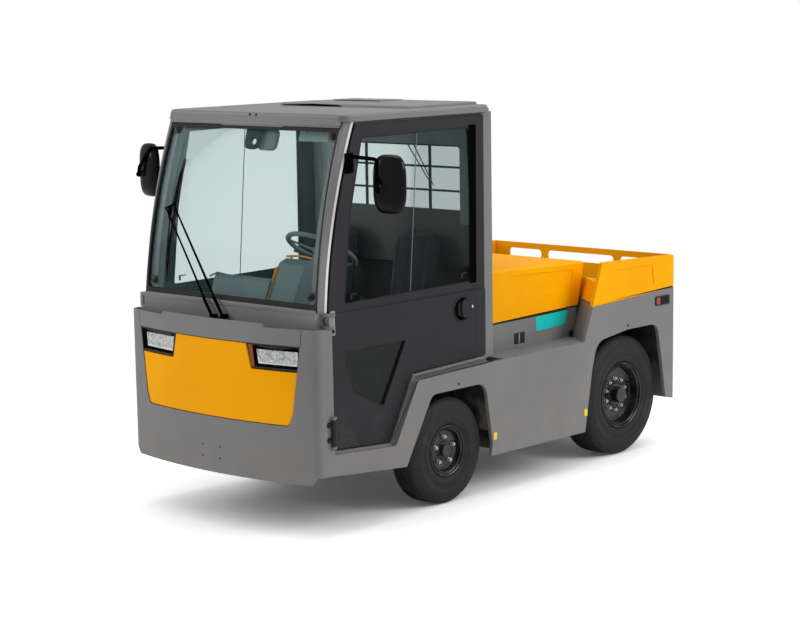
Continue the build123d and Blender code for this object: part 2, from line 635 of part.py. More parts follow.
def make_dashboard():
    y0, z0 = FIREWALL_Y, FLOOR_Z + 268
    desk = [(y0, z0), (y0 + 185, z0, 30), (y0 + 225, z0 + 60), (y0 + 225, z0 + 280, 40),
            (y0 + 165, z0 + 384, 40),
            (y0 + 45, z0 + 376), (y0, z0 + 375)]
    cover = [(y0 + 60, z0 + 380), (y0 + 225, z0 + 270), (y0 + 215, z0 + 490, 40), (y0 + 110, z0 + 520, 30)]
    console = [(y0 + 70, z0 + 380), (y0 + 225, z0 + 250), (y0 + 290, z0 + 540, 30),
               (y0 + 235, z0 + 610, 24), (y0 + 175, z0 + 590, 24)]
    column = rod(along_column(-360), along_column(-32), 30)
    column -= rod(along_column(-92), along_column(-32), COLUMN_SHAFT_R + RUNNING)
    edge_x = WHEEL_AT[0] - 45
    parts = side_plate(desk, -CAB_HALF + 42, CAB_HALF - 42) + side_plate(cover, -205, edge_x)
    return parts + side_plate(console, edge_x, WHEEL_AT[0] + 130) + column


def make_steering_wheel():
    t = 12.0
    flat, edge = t / 2, t * 1.2
    section = [(-t, WHEEL_R - flat), (-flat, WHEEL_R - edge), (flat, WHEEL_R - edge), (t, WHEEL_R - flat),
               (t, WHEEL_R + flat), (flat, WHEEL_R + edge), (-flat, WHEEL_R + edge), (-t, WHEEL_R + flat)]
    rim = Rot(0, -90, 0) * ring(section, 0, 0, 0, 40)
    hub = Pos(0, 0, -18) * Cylinder(40, 24)
    shaft = Pos(0, 0, -58) * Cylinder(COLUMN_SHAFT_R, 60)
    spokes = [Rot(0, 0, a) * Pos(WHEEL_R / 2 + 10, 0, -6) * Box(WHEEL_R - 40, 26, 10) for a in (90, 210, 330)]
    plane = Plane(origin=WHEEL_AT, x_dir=(1, 0, 0), z_dir=(0, math.sin(COLUMN_LEAN), math.cos(COLUMN_LEAN)))
    return plane * (rim + hub + shaft + fused(spokes))


def make_seats():
    """Driver's and passenger's seat, each about its own middle."""
    z = SEAT_DECK_Z + 15
    base = [(-175, z), (145, z), (145, z + 120), (-175, z + 120)]
    cushion = [(-235, z + 130, 30), (-230, z + 235, 40), (160, z + 215, 10), (170, z + 120, 20),
               (-195, z + 118)]
    back = [(118, z + 205), (208, z + 205), (285, z + 672, 30), (212, z + 684, 40)]
    seats = []
    for x, half in ((230, 190), (-350, 190)):
        seats.append(side_plate(base, x - half + 25, x + half - 25) + side_plate(cushion, x - half, x + half)
                     + side_plate(back, x - half + 8, x + half - 8))
    return fused(seats)


# Doors
def door_foot(drop):
    """Lower edge of a door, front to rear, lowered by drop."""
    return [(DOOR_FRONT + 2, 424 - drop), (-437, 396 - drop), (-269 + drop * 0.55, LEDGE_Z + 19 - drop),
            (DOOR_REAR, LEDGE_Z + 37 - drop)]


def door_points():
    foot = door_foot(0)
    rounded = [(foot[0][0] - 2, foot[0][1] + 28), (foot[0][0] + 18, foot[0][1]), (*foot[1], 16),
               (*foot[2], 30), (*foot[3], 10)]
    top = ROOF_UNDER - 13
    return rounded + [(DOOR_REAR + 4, top, 10), (DOOR_FRONT, top)]


def door_window():
    top = ROOF_UNDER - 68
    middle = (BELT_Z + 36 + top) / 2
    return [(DOOR_FRONT + 126, BELT_Z + 36, 20), (DOOR_REAR - 70, BELT_Z + 44, 26),
            (DOOR_REAR - 108, top, 26),
            (ROOF_FRONT + 129, top - 8, 20), (screen_y(middle, 0) + 155, middle, 700)]


def low_window():
    return [(DOOR_FRONT + 121, 889, 12), (DOOR_FRONT + 121, 840), (DOOR_FRONT + 180, 680, 10),
            (-480, 579, 10), (-303, 894, 10)]


def make_door():
    panel = side_plate(door_points(), DOOR_IN, DOOR_OUT)
    panel -= screen_band(BELT_Z - 60, ROOF_UNDER, -PILLAR_DEPTH - DOOR_GAP - 4, 300, DOOR_IN - 5,
                         DOOR_OUT + 5)
    panel -= box(DOOR_OUT - TRIM, DOOR_OUT + 5, DOOR_FRONT - 10, CAB_REAR, BELT_Z, ROOF_UNDER)
    panel -= side_plate(door_window(), DOOR_IN - 5, DOOR_OUT + 5)
    panel -= side_plate(low_window(), DOOR_IN - 5, DOOR_OUT + 5)
    panel -= side_plate([(-400, BELT_Z - 60, 20), (-250, LEDGE_Z + 70, 20),
                         (DOOR_REAR - 60, LEDGE_Z + 80, 20),
                         (DOOR_REAR - 60, BELT_Z - 60, 20)], DOOR_IN - 5, DOOR_IN + 12)
    y, z = HANDLE
    panel -= bar_x(y, z, HANDLE_R, DOOR_OUT - 10, DOOR_OUT + 5)
    paddle = bar_x(y, z, HANDLE_R - 22, DOOR_OUT - 10, DOOR_OUT - 2)
    paddle &= box(DOOR_OUT - 20, DOOR_OUT, y - 24, y + 60, z - 60, z + 60)
    leaves = []
    for z0, z1, _ in HINGES:
        leaf = box(DOOR_OUT, HINGE_X, HINGE_Y + 19, HINGE_Y + 31, z0 + 1, z1 - 1)
        leaf += box(HINGE_X - 9, HINGE_X + 9, HINGE_Y, HINGE_Y + 31, z0 + 1, z1 - 1)
        leaf += bar_z(HINGE_X, HINGE_Y, HINGE_R, z0 + 1, z1 - 1)
        leaf += box(DOOR_OUT, DOOR_OUT + 6, HINGE_Y + 26, HINGE_Y + 58, z0 + 1, z1 - 12)
        leaves.append(leaf - bar_z(HINGE_X, HINGE_Y, HINGE_PIN_R + RUNNING, z0 - 5, z1 + 5))
    return panel + paddle + fused(leaves)


HANDLE = (122.0, 992.0)
HANDLE_R = 58.0


def make_door_glass():
    x = DOOR_IN + 8
    return side_plate(door_window(), x, x + TRIM) + side_plate(low_window(), x, x + TRIM)


MIRROR_X = HALF + 187.0
MIRROR_Y = ROOF_FRONT + 46.0
MIRROR_Z = ROOF_UNDER - 288.0
MIRROR_TURN = 12.0


def make_mirror():
    x, y, z = MIRROR_X, MIRROR_Y, MIRROR_Z
    foot_y = screen_y(z + 60, -PILLAR_DEPTH) + 22
    bracket = box(DOOR_OUT - TRIM, DOOR_OUT + 12, foot_y, foot_y + 36, z + 60, z + 135)
    reach = (x - 55, y - 10, z + 117)
    arm = rod((DOOR_OUT + 8, foot_y + 18, z + 124), reach, 8) + rod(reach, (x - 47, y - 10, z - 16), 8)
    head = Box(176, 56, 280)
    head = fillet(head.edges().filter_by(Axis.Y), 26)
    head = chamfer(head.faces().sort_by(Axis.Y)[0].edges(), 12)
    return bracket + arm + Pos(x, y + 14, z) * Rot(0, 0, MIRROR_TURN) * head


# Battery bay and hood
def make_surround():
    x, y0, y1 = HOOD_HALF - 6, BAY_FRONT, HOOD_REAR - 12
    step = FENDER_FRONT + 100
    face = [(y0, LEDGE_Z), (step, LEDGE_Z), (step + 5, LEDGE_Z + 32), (y1, LEDGE_Z + 32),
            (y1, HOOD_FOOT + 6), (y0, HOOD_FOOT - 8)]
    walls = side_plate(face, -x, x) - box(-x + 10, x - 10, y0 - 5, y1 - 10, LEDGE_Z - 5, HOOD_FOOT + 20)
    socket = [(SOCKET_Y - 47, SOCKET_Z - 30, 4), (SOCKET_Y + 47, SOCKET_Z - 30, 4),
              (SOCKET_Y + 47, SOCKET_Z + 30, 4),
              (SOCKET_Y - 47, SOCKET_Z + 30, 4)]
    return walls - both(side_plate(socket, x - 20, x + 20))


SOCKET_Y = BAY_FRONT + 341.0
SOCKET_Z = LEDGE_Z + 48.0


def hood_points(d):
    """Side view of the hood; d moves rear and top inward."""
    y0 = CAB_REAR + 10
    return [(y0, HOOD_FOOT), (HOOD_REAR - d, HOOD_FOOT + 16), (HOOD_REAR + 56 - d, HOOD_REAR_TOP - d, 14),
            (y0, HOOD_FRONT_TOP - d)]


def make_hood():
    shell = side_plate(hood_points(0), -HOOD_HALF, HOOD_HALF)
    top = shell.faces().sort_by(Axis.Z)[-1]
    shell = chamfer([e for e in top.edges() if abs(abs(e.center().X) - HOOD_HALF) < 1], 10)
    inside = [(CAB_REAR, HOOD_FOOT - 10), (HOOD_REAR - HOOD_WALL - 2, HOOD_FOOT - 10)]
    inside += hood_points(HOOD_WALL)[2:3] + [(CAB_REAR, HOOD_FRONT_TOP - HOOD_WALL)]
    hollow = side_plate(inside, -HOOD_HALF + HOOD_WALL, HOOD_HALF - HOOD_WALL)
    recess = [(HOOD_REAR - 592, HOOD_FRONT_TOP - 48), (HOOD_REAR - 54, HOOD_REAR_TOP - 37),
              (HOOD_REAR - 92, HOOD_FOOT - 5), (HOOD_REAR - 120, HOOD_FOOT - 5),
              (HOOD_REAR - 112, HOOD_REAR_TOP - 150), (HOOD_REAR - 592, HOOD_FRONT_TOP - 160)]
    dents = both(side_plate(recess, HOOD_HALF - 4, HOOD_HALF + 5))
    y, z = HOOD_PIN
    ears = []
    for x in (-HOOD_HINGE_X, HOOD_HINGE_X):
        ear = bar_x(y, z, 9, x - 22, x + 22) + box(x - 22, x + 22, y, y + 30, z - 24, z - 2)
        ears.append(ear - bar_x(y, z, 5 + RUNNING, x - 30, x + 30))
    return shell - hollow - dents + fused(ears)


# Rear body
def rail_points(rear):
    """Side view of a yellow side rail that ends at the given length."""
    top, foot = FENDER_Z + RAIL_RISE, FENDER_Z + SHEET
    return [(FENDER_FRONT + 76, foot - FENDER_DROP), (rear, foot, 0), (rear, top, 14),
            (FENDER_FRONT + 163, top + 22, 10)]


def swept(points, x1):
    """Outline in (y, z) on the side's inner face, carried in to x1 and rearward with the fender's front."""
    x0 = HALF - SKIN
    way = Vector(x1 - x0, FENDER_SWEEP * (x0 - x1) / (x0 - HOOD_HALF), 0)
    plane = Plane(origin=(x0, 0, 0), x_dir=(0, 1, 0), z_dir=(1, 0, 0))
    return extrude(plane * outline(points), amount=way.length, dir=way)


def side_rail(rear):
    """Yellow side rail of a given length, with the recessed seam strip under it."""
    y0, foot = FENDER_FRONT + 76, FENDER_Z + SHEET
    seam = [(y0, foot - FENDER_DROP - SHEET + 0.5), (rear, FENDER_Z), (rear, foot), (y0, foot - FENDER_DROP)]
    return side_plate(rail_points(rear), HALF - SKIN, HALF) + side_plate(seam, HALF - SKIN, HALF - 4)


def make_rear_rails():
    x0, x1 = HALF - SKIN, HOOD_HALF + 12
    low = BEAM_SEAT
    front = [(FENDER_FRONT + 80, low), (FENDER_FRONT + 124, BEAM_TOP), (BED_FRONT + 15, BEAM_TOP),
             (BED_FRONT + 15, low)]
    flank = swept(front, x1) & box(x1, x0, FENDER_FRONT, BED_FRONT + 15, low, BEAM_TOP)
    dent_top, dent_foot = FENDER_Z + RAIL_RISE - 37, FENDER_Z + 12
    dent = [(FENDER_FRONT + 230, dent_top + 6), (REAR - 212, dent_top), (REAR - 186, dent_foot),
            (REAR - 192, dent_top - 110),
            (FENDER_FRONT + 230, dent_top - 60)]
    rails = side_rail(REAR) + other_side(side_rail(REAR - FAR_RAIL_GAP))
    rails -= both(side_plate(dent, HALF - 4, HALF + 5))
    beam = box(-x1, x1, BED_FRONT, BED_FRONT + 15, low, BEAM_TOP)
    return rails + both(flank) + beam


BEAM_SEAT = FENDER_Z - 2.0
BEAM_TOP = FENDER_Z + 107.0
FAR_RAIL_GAP = 70.0


def make_tail_panel():
    z0, z1 = BEAM_SEAT, FENDER_Z + RAIL_RISE
    panel = box(-HALF + SKIN, HALF - SKIN, REAR - SHEET, REAR, z0, z1)
    slots = fused([cross_plate([(x0, SLOT_Z, 20), (x1, SLOT_Z, 20), (x1, SLOT_Z + SLOT_H, 20),
                                (x0, SLOT_Z + SLOT_H, 20)],
                               REAR - 40, REAR + 20) for x0, x1 in SLOTS])
    side_return = box(-HALF, -HALF + SKIN, REAR - 45, REAR, FENDER_Z + SHEET, z1)
    return panel - slots + side_return


SLOTS = ((-537.0, -290.0), (-243.0, 243.0), (290.0, 537.0))
SLOT_Z = FENDER_Z + 101.0
SLOT_H = 54.0


def make_rear_body():
    x0 = HALF - SKIN
    low = FENDER_Z - BED_T
    bed = box(-x0, x0, BED_FRONT + 15, REAR - SHEET, low, FENDER_Z)
    seat = box(-x0, x0, BED_FRONT - 7, BED_FRONT + 15, low, BEAM_SEAT)
    back = box(-x0, x0, REAR - SHEET, REAR, 262, BEAM_SEAT) - box(-160, 160, REAR - 40, REAR + 10, 325, 565)
    front = box(-HOOD_HALF, HOOD_HALF, BED_FRONT - 7, BED_FRONT, LEDGE_Z + 35, low)
    panel = swept([(FENDER_FRONT, LEDGE_Z), (FENDER_FRONT + 74, FENDER_Z - FENDER_DROP),
                   (FENDER_FRONT + 80, low),
                   (FENDER_FRONT + 92, low), (FENDER_FRONT + 12, LEDGE_Z)], HOOD_HALF)
    lid = [(HOOD_HALF, FENDER_FRONT + 80 + FENDER_SWEEP), (x0, FENDER_FRONT + 80), (x0, BED_FRONT - 7),
           (HOOD_HALF, BED_FRONT - 7)]
    lid = Pos(0, 0, low) * extrude(outline(lid), amount=BEAM_SEAT - low)
    wall = box(HOOD_HALF - 7, HOOD_HALF, FENDER_FRONT + 80 + FENDER_SWEEP, BED_FRONT - 7, LEDGE_Z + 35,
               BEAM_SEAT)
    return bed + seat + back + front + both(panel + lid + wall)


def make_lamps():
    y0, y1 = REAR - 183, REAR - 47
    marker = box(HALF, HALF + 8, y0, y1, FENDER_Z - 87, FENDER_Z - 35)
    tail = box(HALF - 190, HALF - 50, REAR, REAR + 12, FENDER_Z - 145, FENDER_Z - 55)
    return both(marker + tail)


# Tow coupling
JAW_HALF = 70.0
JAW_T = 25.0
JAW_STEP = 75.0
JAW_Z = 355.0
PIN_R = 16.0
PIN_Y = REAR + 50.0


def make_coupling():
    plate = box(-150, 150, REAR - SKIN - 6, REAR, JAW_Z - 20, JAW_Z + 2 * JAW_STEP + JAW_T + 25)
    leaf = extrude(outline([(-JAW_HALF, REAR), (JAW_HALF, REAR), (JAW_HALF, REAR + COUPLING_REACH, 40),
                            (-JAW_HALF, REAR + COUPLING_REACH, 40)]), amount=JAW_T)
    jaws = fused([Pos(0, 0, JAW_Z + i * JAW_STEP) * leaf for i in range(3)])
    web = box(-JAW_HALF, JAW_HALF, REAR, REAR + 14, JAW_Z, JAW_Z + 2 * JAW_STEP + JAW_T)
    return plate + jaws + web - bar_z(0, PIN_Y, PIN_R + RUNNING, JAW_Z - 10, JAW_Z + 3 * JAW_STEP)


def make_pin():
    top = JAW_Z + 2 * JAW_STEP + JAW_T
    shaft = bar_z(0, PIN_Y, PIN_R, JAW_Z - 5, top + 70)
    grip = bar_x(PIN_Y, top + 80, 12, -55, 55)
    collar = bar_z(0, PIN_Y, PIN_R + 10, top + 0.3, top + 12)
    return shaft + grip + collar


# Writing the nodes
def save(name, shape):
    export_step(Pos(0, -MIDDLE, 0) * shape, os.path.join("parts", name + ".step"))


SINGLE = {
    "chassis_frame": make_frame, "front_axle_beam": make_front_axle, "rear_axle": make_rear_axle,
    "battery_block": make_battery, "front_plate": make_front_plate, "front_cover": make_front_cover,
    "headlamp_housings": make_lamp_housings, "headlamp_lenses": make_lamp_lenses, "arch_liners": make_liners,
    "cowl": make_cowl, "cab_frame": make_cab_frame, "cab_floor": make_cab_floor, "roof": make_roof,
    "screen_gasket": make_gasket, "cab_glass": make_cab_glass, "wiper_and_guard": make_wiper_and_guard,
    "dashboard": make_dashboard, "steering_wheel": make_steering_wheel, "seats": make_seats,
    "battery_surround": make_surround, "battery_hood": make_hood, "rear_rails": make_rear_rails,
    "tail_panel": make_tail_panel, "rear_body": make_rear_body, "lamps": make_lamps,
    "tow_coupling": make_coupling, "coupling_pin": make_pin,
}
PAIRED = {
    "side": make_side, "door": make_door, "door_glass": make_door_glass, "mirror": make_mirror,
    "knuckle": make_knuckle, "rim_front": make_front_rim, "rim_rear": make_rear_rim,
    "tyre_front": make_front_tyre, "tyre_rear": make_rear_tyre,
}


def main():
    os.makedirs("parts", exist_ok=True)
    for name, make in SINGLE.items():
        save(name, make())
    for name, make in PAIRED.items():
        shape = make()
        save(name + "_left", shape)
        save(name + "_right", other_side(shape))


main()
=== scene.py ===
# %% [markdown]
# # Airport baggage tug
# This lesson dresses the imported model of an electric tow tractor: grey and yellow sheet metal, a glazed cab
# with dark doors, black steel rims and a small load bed. The solid model already has the shapes, so it is
# loaded as a fixed frame, and Blender adds finishes, tyres with a tread, cushions, lamps, hinges and the
# other small things.

# %% Load the frame
import json
from math import copysign, cos, exp, pi, radians, sin, sqrt, tan

import bmesh
import bpy
from mathutils import Matrix, Vector


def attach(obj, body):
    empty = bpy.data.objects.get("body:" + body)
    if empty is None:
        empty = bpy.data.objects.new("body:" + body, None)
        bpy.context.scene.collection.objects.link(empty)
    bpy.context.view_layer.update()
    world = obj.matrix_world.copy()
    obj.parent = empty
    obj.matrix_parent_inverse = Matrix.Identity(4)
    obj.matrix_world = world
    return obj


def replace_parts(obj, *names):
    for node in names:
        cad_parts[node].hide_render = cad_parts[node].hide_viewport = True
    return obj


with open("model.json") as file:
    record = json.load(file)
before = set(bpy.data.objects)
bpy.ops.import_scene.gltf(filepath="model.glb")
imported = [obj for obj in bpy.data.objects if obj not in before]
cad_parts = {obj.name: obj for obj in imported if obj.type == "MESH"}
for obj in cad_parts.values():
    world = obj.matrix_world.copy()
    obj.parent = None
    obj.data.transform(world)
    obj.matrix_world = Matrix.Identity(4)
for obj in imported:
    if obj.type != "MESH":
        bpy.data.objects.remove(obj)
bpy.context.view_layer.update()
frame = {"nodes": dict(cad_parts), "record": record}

# %% [markdown]
# The drawing of the vehicle counts millimetres from the floor under the front axle, with X to its left, Y
# to the rear and Z up. The frame counts metres from the middle of its length, so one function turns the
# first into the second. Nearly every piece below is made in drawing millimetres and moved once.

# %% Drawing millimetres to the frame's metres
MIDDLE = 487.5
TO_FRAME = Matrix.Scale(0.001, 4) @ Matrix.Translation((0, -MIDDLE, 0))


def at(x, y, z):
    return TO_FRAME @ Vector((x, y, z))


print("front of the nose:", at(0, -1067.5, 500))

# %% [markdown]
# The photograph is taken from the front left corner with a long lens, from just above the roof. The
# camera's place was solved from the straight edges of the body. Its axes are built from the yaw, the pitch
# and the small roll.


# %% Camera
def placed(name, data):
    """New object of the scene that holds the data."""
    made = bpy.data.objects.new(name, data)
    bpy.context.scene.collection.objects.link(made)
    return made


YAW, PITCH, ROLL = radians(41.971), radians(8.479), radians(-0.901)
CAMERA_AT = Vector((7.4075, -8.3881, 2.525))
ahead = Vector((-sin(YAW) * cos(PITCH), cos(YAW) * cos(PITCH), -sin(PITCH)))
level = Vector((cos(YAW), sin(YAW), 0))
upward = level.cross(ahead)
across = cos(ROLL) * level + sin(ROLL) * upward
upright = cos(ROLL) * upward - sin(ROLL) * level
lens = bpy.data.cameras.new("photo_camera")
lens.lens = 93.74
camera = placed("photo_camera", lens)
camera.matrix_world = Matrix((across, upright, -ahead)).transposed().to_4x4()
camera.location = CAMERA_AT
bpy.context.scene.camera = camera
bpy.context.scene.view_settings.view_transform = "Standard"
print("camera", round(lens.lens, 2), "mm lens")

# %% [markdown]
# A shader is a small sum, so it reads best as one. The class below wraps a socket, and plus, minus and
# times on it add Math nodes. Vectors go through Vector Math and colours through Mix, because a Math node
# would turn them grey. Every other node comes from one method, which takes the node's inputs, its output
# and its settings.


# %% Shader sums
class Wire:
    """One output socket, on which plain arithmetic adds nodes."""

    def __init__(self, tree, socket):
        self.tree, self.socket = tree, socket

    def sum(self, how, *terms):
        return self.tree.node("Math", dict(enumerate(terms)), operation=how)

    def __add__(self, other):
        return self.sum("ADD", self, other)

    def __sub__(self, other):
        return self.sum("SUBTRACT", self, other)

    def __rsub__(self, other):
        return self.sum("SUBTRACT", other, self)

    def __mul__(self, other):
        return self.sum("MULTIPLY", self, other)

    __radd__, __rmul__ = __add__, __mul__

    def dot(self, other):
        return self.tree.node("VectorMath", {0: self, 1: other}, "Value", operation="DOT_PRODUCT")

    def times(self, vector):
        return self.tree.node("VectorMath", {0: self, 1: vector}, operation="MULTIPLY")

    def step(self, low, high):
        """0 below low, 1 above high, smooth between."""
        limits = {"Value": self, "From Min": low, "From Max": high}
        return self.tree.node("MapRange", limits, interpolation_type="SMOOTHSTEP")


class Finish:
    """A material, or the world, that is made of nodes."""

    def __init__(self, name, owner=None):
        self.name, self.material = name, owner or bpy.data.materials.new(name)
        self.material.use_nodes = True
        self.nodes, self.links = self.material.node_tree.nodes, self.material.node_tree.links
        self.shader = self.nodes.get("Principled BSDF")

    def node(self, kind, inputs, output=0, **settings):
        made = self.nodes.new("ShaderNode" + kind)
        for name, value in settings.items():
            setattr(made, name, value)
        for name, value in inputs.items():
            self.join(made.inputs[name], value)
        return Wire(self, made.outputs[output])

    def join(self, socket, value):
        if isinstance(value, Wire):
            self.links.new(value.socket, socket)
        elif isinstance(value, tuple) and len(value) == 3 and socket.type == "RGBA":
            socket.default_value = (*value, 1)
        else:
            socket.default_value = value

    def place(self):
        return self.node("TexCoord", {}, "Object")

    def height(self):
        return self.node("SeparateXYZ", {"Vector": self.place()}, "Z")

    def noise(self, scale, detail=2.0, where=None):
        inputs = {"Vector": where or self.place(), "Scale": scale, "Detail": detail}
        return self.node("TexNoise", inputs, "Fac")

    def mix(self, share, first, second, how="MIX"):
        """Colour mix; sockets 6 and 7 of the Mix node are its two colours and output 2 is its colour."""
        return self.node("Mix", {0: share, 6: first, 7: second}, 2, data_type="RGBA", blend_type=how)

    def bump(self, height, distance, strength=1.0, **normal):
        return self.node("Bump", {"Height": height, "Distance": distance, "Strength": strength, **normal})

    def rounded(self, radius):
        return self.node("Bevel", {"Radius": radius}, samples=6)

    def edges(self, radius):
        """1 on sharp outer edges, 0 on flat metal."""
        flat = self.node("NewGeometry", {}, "Normal")
        return (1 - self.rounded(radius).dot(flat)).step(0.02, 0.25)

    def wear(self, **sockets):
        """Joins the sums to the shader and puts the material on the list."""
        for name, value in sockets.items():
            self.join(self.shader.inputs[name.replace("_", " ")], value)
        FINISHES[self.name] = self.material

    def surface(self, kind, inputs):
        """Another shader in front of the Principled one."""
        self.join(self.nodes["Material Output"].inputs["Surface"], self.node(kind, inputs))


FINISHES = {}
print("shader classes ready")

# %% [markdown]
# The body is bent steel sheet with a sprayed coat. Real paint is never one flat colour: it has a fine
# orange peel, a slow drift in tone, thinner colour on its edges and a little road dust low down. A Bevel
# node rounds the sharp edges of the solid model for the light, which costs no polygons.


# %% Sprayed paint
def srgb(red, green, blue):
    """Linear colour from the values 0 to 255 that a picture program shows."""
    return tuple(((c / 255 + 0.055) / 1.055) ** 2.4 if c > 10 else c / 3294.6 for c in (red, green, blue))


def tones(colour, share, lift=0.0):
    """The colour made darker or lighter by a share."""
    return tuple(min(c * share + lift, 1) for c in colour)


def paint(name, colour, rough, peel=0.00012, edge=0.35, dust=0.25, radius=0.0022, gloss=0.35):
    f = Finish(name)
    drift = f.noise(1.6, 3.0)
    fine = f.noise(90.0)
    tone = f.mix(drift.step(0.3, 0.7), tones(colour, 0.94), tones(colour, 1.05))
    tone = f.mix(f.edges(radius) * edge, tone, tones(colour, 1.9, 0.03))
    low = (1 - f.height().step(0.2, 0.75)) * f.noise(9.0, 4.0).step(0.35, 0.75) * dust
    normal = f.bump(f.noise(420.0, 1.0) + fine * 0.6, peel, Normal=f.rounded(radius))
    f.wear(Base_Color=f.mix(low, tone, ROAD_DUST), Roughness=rough + (fine - 0.5) * 0.08 + low * 0.3,
           Normal=normal, Specular_IOR_Level=gloss)


ROAD_DUST = srgb(150, 141, 128)
paint("body_grey", srgb(122, 121, 121), 0.42)
paint("body_yellow", srgb(250, 170, 0), 0.5, dust=0.08, gloss=0.06)
paint("door_dark", srgb(40, 38, 43), 0.5, peel=0.0002, edge=0.2, dust=0.12, gloss=0.22)
paint("chassis_black", srgb(34, 34, 36), 0.55, dust=0.6)
paint("battery_case", srgb(80, 84, 86), 0.5, dust=0.4)
paint("rim_black", srgb(14, 14, 16), 0.16, peel=0.00006, edge=0.25, dust=0.12, radius=0.001, gloss=0.5)
paint("hinge_grey", srgb(150, 148, 146), 0.4, radius=0.0012)
# White paint for the headlamp strips, and for the painted highlight down the pillars' outer corners.
paint("white_strip_and_painted_highlight", srgb(228, 228, 226), 0.3, radius=0.0012, edge=0.1, dust=0.05)
print("paints:", len(FINISHES))

# %% [markdown]
# The other finishes are rubber, moulded plastic, glass, bright steel, cloth and lamp plastic. Rubber is
# dark and dry with a fine dust in its grooves, plastic has a leather like grain, and steel is brushed and
# slightly uneven.


# %% Rubber, plastic, steel and cloth
def moulded(name, colour, rough, grain, depth, spread=0.12, gloss=0.3, radius=0.0015):
    f = Finish(name)
    drift = f.noise(7.0, 3.0)
    cells = f.node("TexVoronoi", {"Vector": f.place(), "Scale": grain}, "Distance")
    tone = f.mix(drift, tuple(c * (1 - spread) for c in colour), tuple(c * (1 + spread) for c in colour))
    tone = f.mix(f.edges(radius) * 0.25, tone, tuple(c * 2.2 + 0.01 for c in colour))
    f.wear(Base_Color=tone, Roughness=rough + (drift - 0.5) * 0.12,
           Normal=f.bump(cells, depth, Normal=f.rounded(radius)),
           Specular_IOR_Level=gloss)


def tyre_rubber():
    f = Finish("tyre")
    grain = f.noise(260.0, 3.0)
    dust = f.noise(14.0, 5.0).step(0.42, 0.8)
    tone = f.mix(dust * 0.4, srgb(36, 35, 37), srgb(62, 59, 58))
    f.wear(Base_Color=f.mix(grain * 0.4, tone, srgb(34, 33, 36)), Roughness=0.6 + (grain - 0.5) * 0.2,
           Normal=f.bump(grain, 0.0003), Specular_IOR_Level=0.25)


def steel(name, colour, rough):
    f = Finish(name)
    streak = f.noise(30.0, 4.0, f.place().times((1.0, 1.0, 14.0)))
    f.wear(Base_Color=f.mix(streak, tones(colour, 0.8), colour), Metallic=1.0,
           Roughness=rough + (streak - 0.5) * 0.2,
           Normal=f.bump(streak, 0.00005, Normal=f.rounded(0.0008)))


def seat_cloth():
    f = Finish("seat_cloth")
    threads = {"Vector": f.place(), "Scale": 150.0, "Distortion": 0.4}
    warp, weft = (f.node("TexWave", threads, bands_direction=way) for way in ("X", "DIAGONAL"))
    fluff = f.noise(25.0, 4.0)
    f.wear(Base_Color=f.mix(fluff, srgb(64, 69, 75), srgb(86, 91, 97)), Roughness=0.88 + (fluff - 0.5) * 0.1,
           Normal=f.bump(f.mix(0.5, warp, weft, "MULTIPLY"), 0.00006), Sheen_Weight=0.3,
           Specular_IOR_Level=0.2)


moulded("trim_black", srgb(29, 29, 31), 0.42, 900.0, 0.00006)
moulded("cab_plastic", srgb(112, 126, 127), 0.55, 400.0, 0.00004)
moulded("guard_grey", srgb(92, 106, 104), 0.5, 500.0, 0.00004)
moulded("cab_lining", srgb(172, 188, 185), 0.6, 300.0, 0.00004)
moulded("deep_black", srgb(9, 9, 10), 0.5, 500.0, 0.00004, gloss=0.0)
moulded("seal_rubber", srgb(24, 24, 26), 0.62, 1200.0, 0.00004)
moulded("floor_rubber", srgb(46, 47, 49), 0.7, 60.0, 0.0008)
moulded("mirror_shell", srgb(15, 14, 15), 0.2, 1500.0, 0.00002, gloss=0.16)
moulded("tag_teal", srgb(24, 200, 194), 0.3, 600.0, 0.00002, spread=0.04)
moulded("sticker_yellow", srgb(250, 215, 30), 0.4, 600.0, 0.00002, spread=0.04)
moulded("amber", srgb(150, 66, 20), 0.25, 300.0, 0.0001)
moulded("edge_orange", srgb(214, 140, 24), 0.4, 600.0, 0.00002)
moulded("pane_edge", srgb(92, 124, 118), 0.3, 600.0, 0.00002)
tyre_rubber()
seat_cloth()
steel("bright_steel", srgb(205, 206, 208), 0.25)
steel("reflector", srgb(236, 238, 242), 0.12)
print("finishes:", len(FINISHES))

# %% [markdown]
# Cab glass is a thin green tinted pane. A Transparent shader with the tint lets lamps and daylight through
# it, which real refraction in a path tracer does badly, and a sharp coat on top gives the reflections.
# Layer Weight makes them stronger where the pane is seen edge on. The low door window is painted dark, as
# painted shade, because no light reaches the floor behind it.


# %% Glass
def glass(name, tint, film, shine, painted_shade_below=None):
    f = Finish(name)
    smear = f.noise(5.0, 3.0)
    f.wear(Base_Color=f.mix(smear, film, tones(film, 0.9)), Roughness=0.03 + smear * 0.03,
           Normal=f.bump(f.noise(3.0, 1.0), 0.0002, 0.1), Specular_IOR_Level=0.2)
    clear = f.node("BsdfTransparent", {"Color": tint}, "BSDF")
    share = shine + f.node("LayerWeight", {"Blend": 0.25}, "Fresnel") * 0.4
    # Painted shade: below this height the pane turns to its dark film, for the unlit floor behind it.
    if painted_shade_below:
        share = share + (1 - f.height().step(painted_shade_below - 0.02, painted_shade_below)) * 0.72
    f.surface("MixShader", {0: share, 1: clear, 2: Wire(f, f.shader.outputs["BSDF"])})


def lamp_crystal():
    """Silver lamp glass, broken up by small slanting cells."""
    f = Finish("lamp_crystal")
    cells = f.node("TexVoronoi", {"Vector": f.place().times((1.0, 1.0, 0.6)), "Scale": 75.0}, "Distance")
    tone = f.mix(f.noise(70.0, 4.0).step(0.3, 0.7), srgb(150, 153, 155), srgb(214, 217, 218))
    f.wear(Base_Color=tone, Metallic=0.35, Roughness=0.2 + cells * 0.2, Normal=f.bump(cells, 0.004),
           Coat_Weight=0.3)


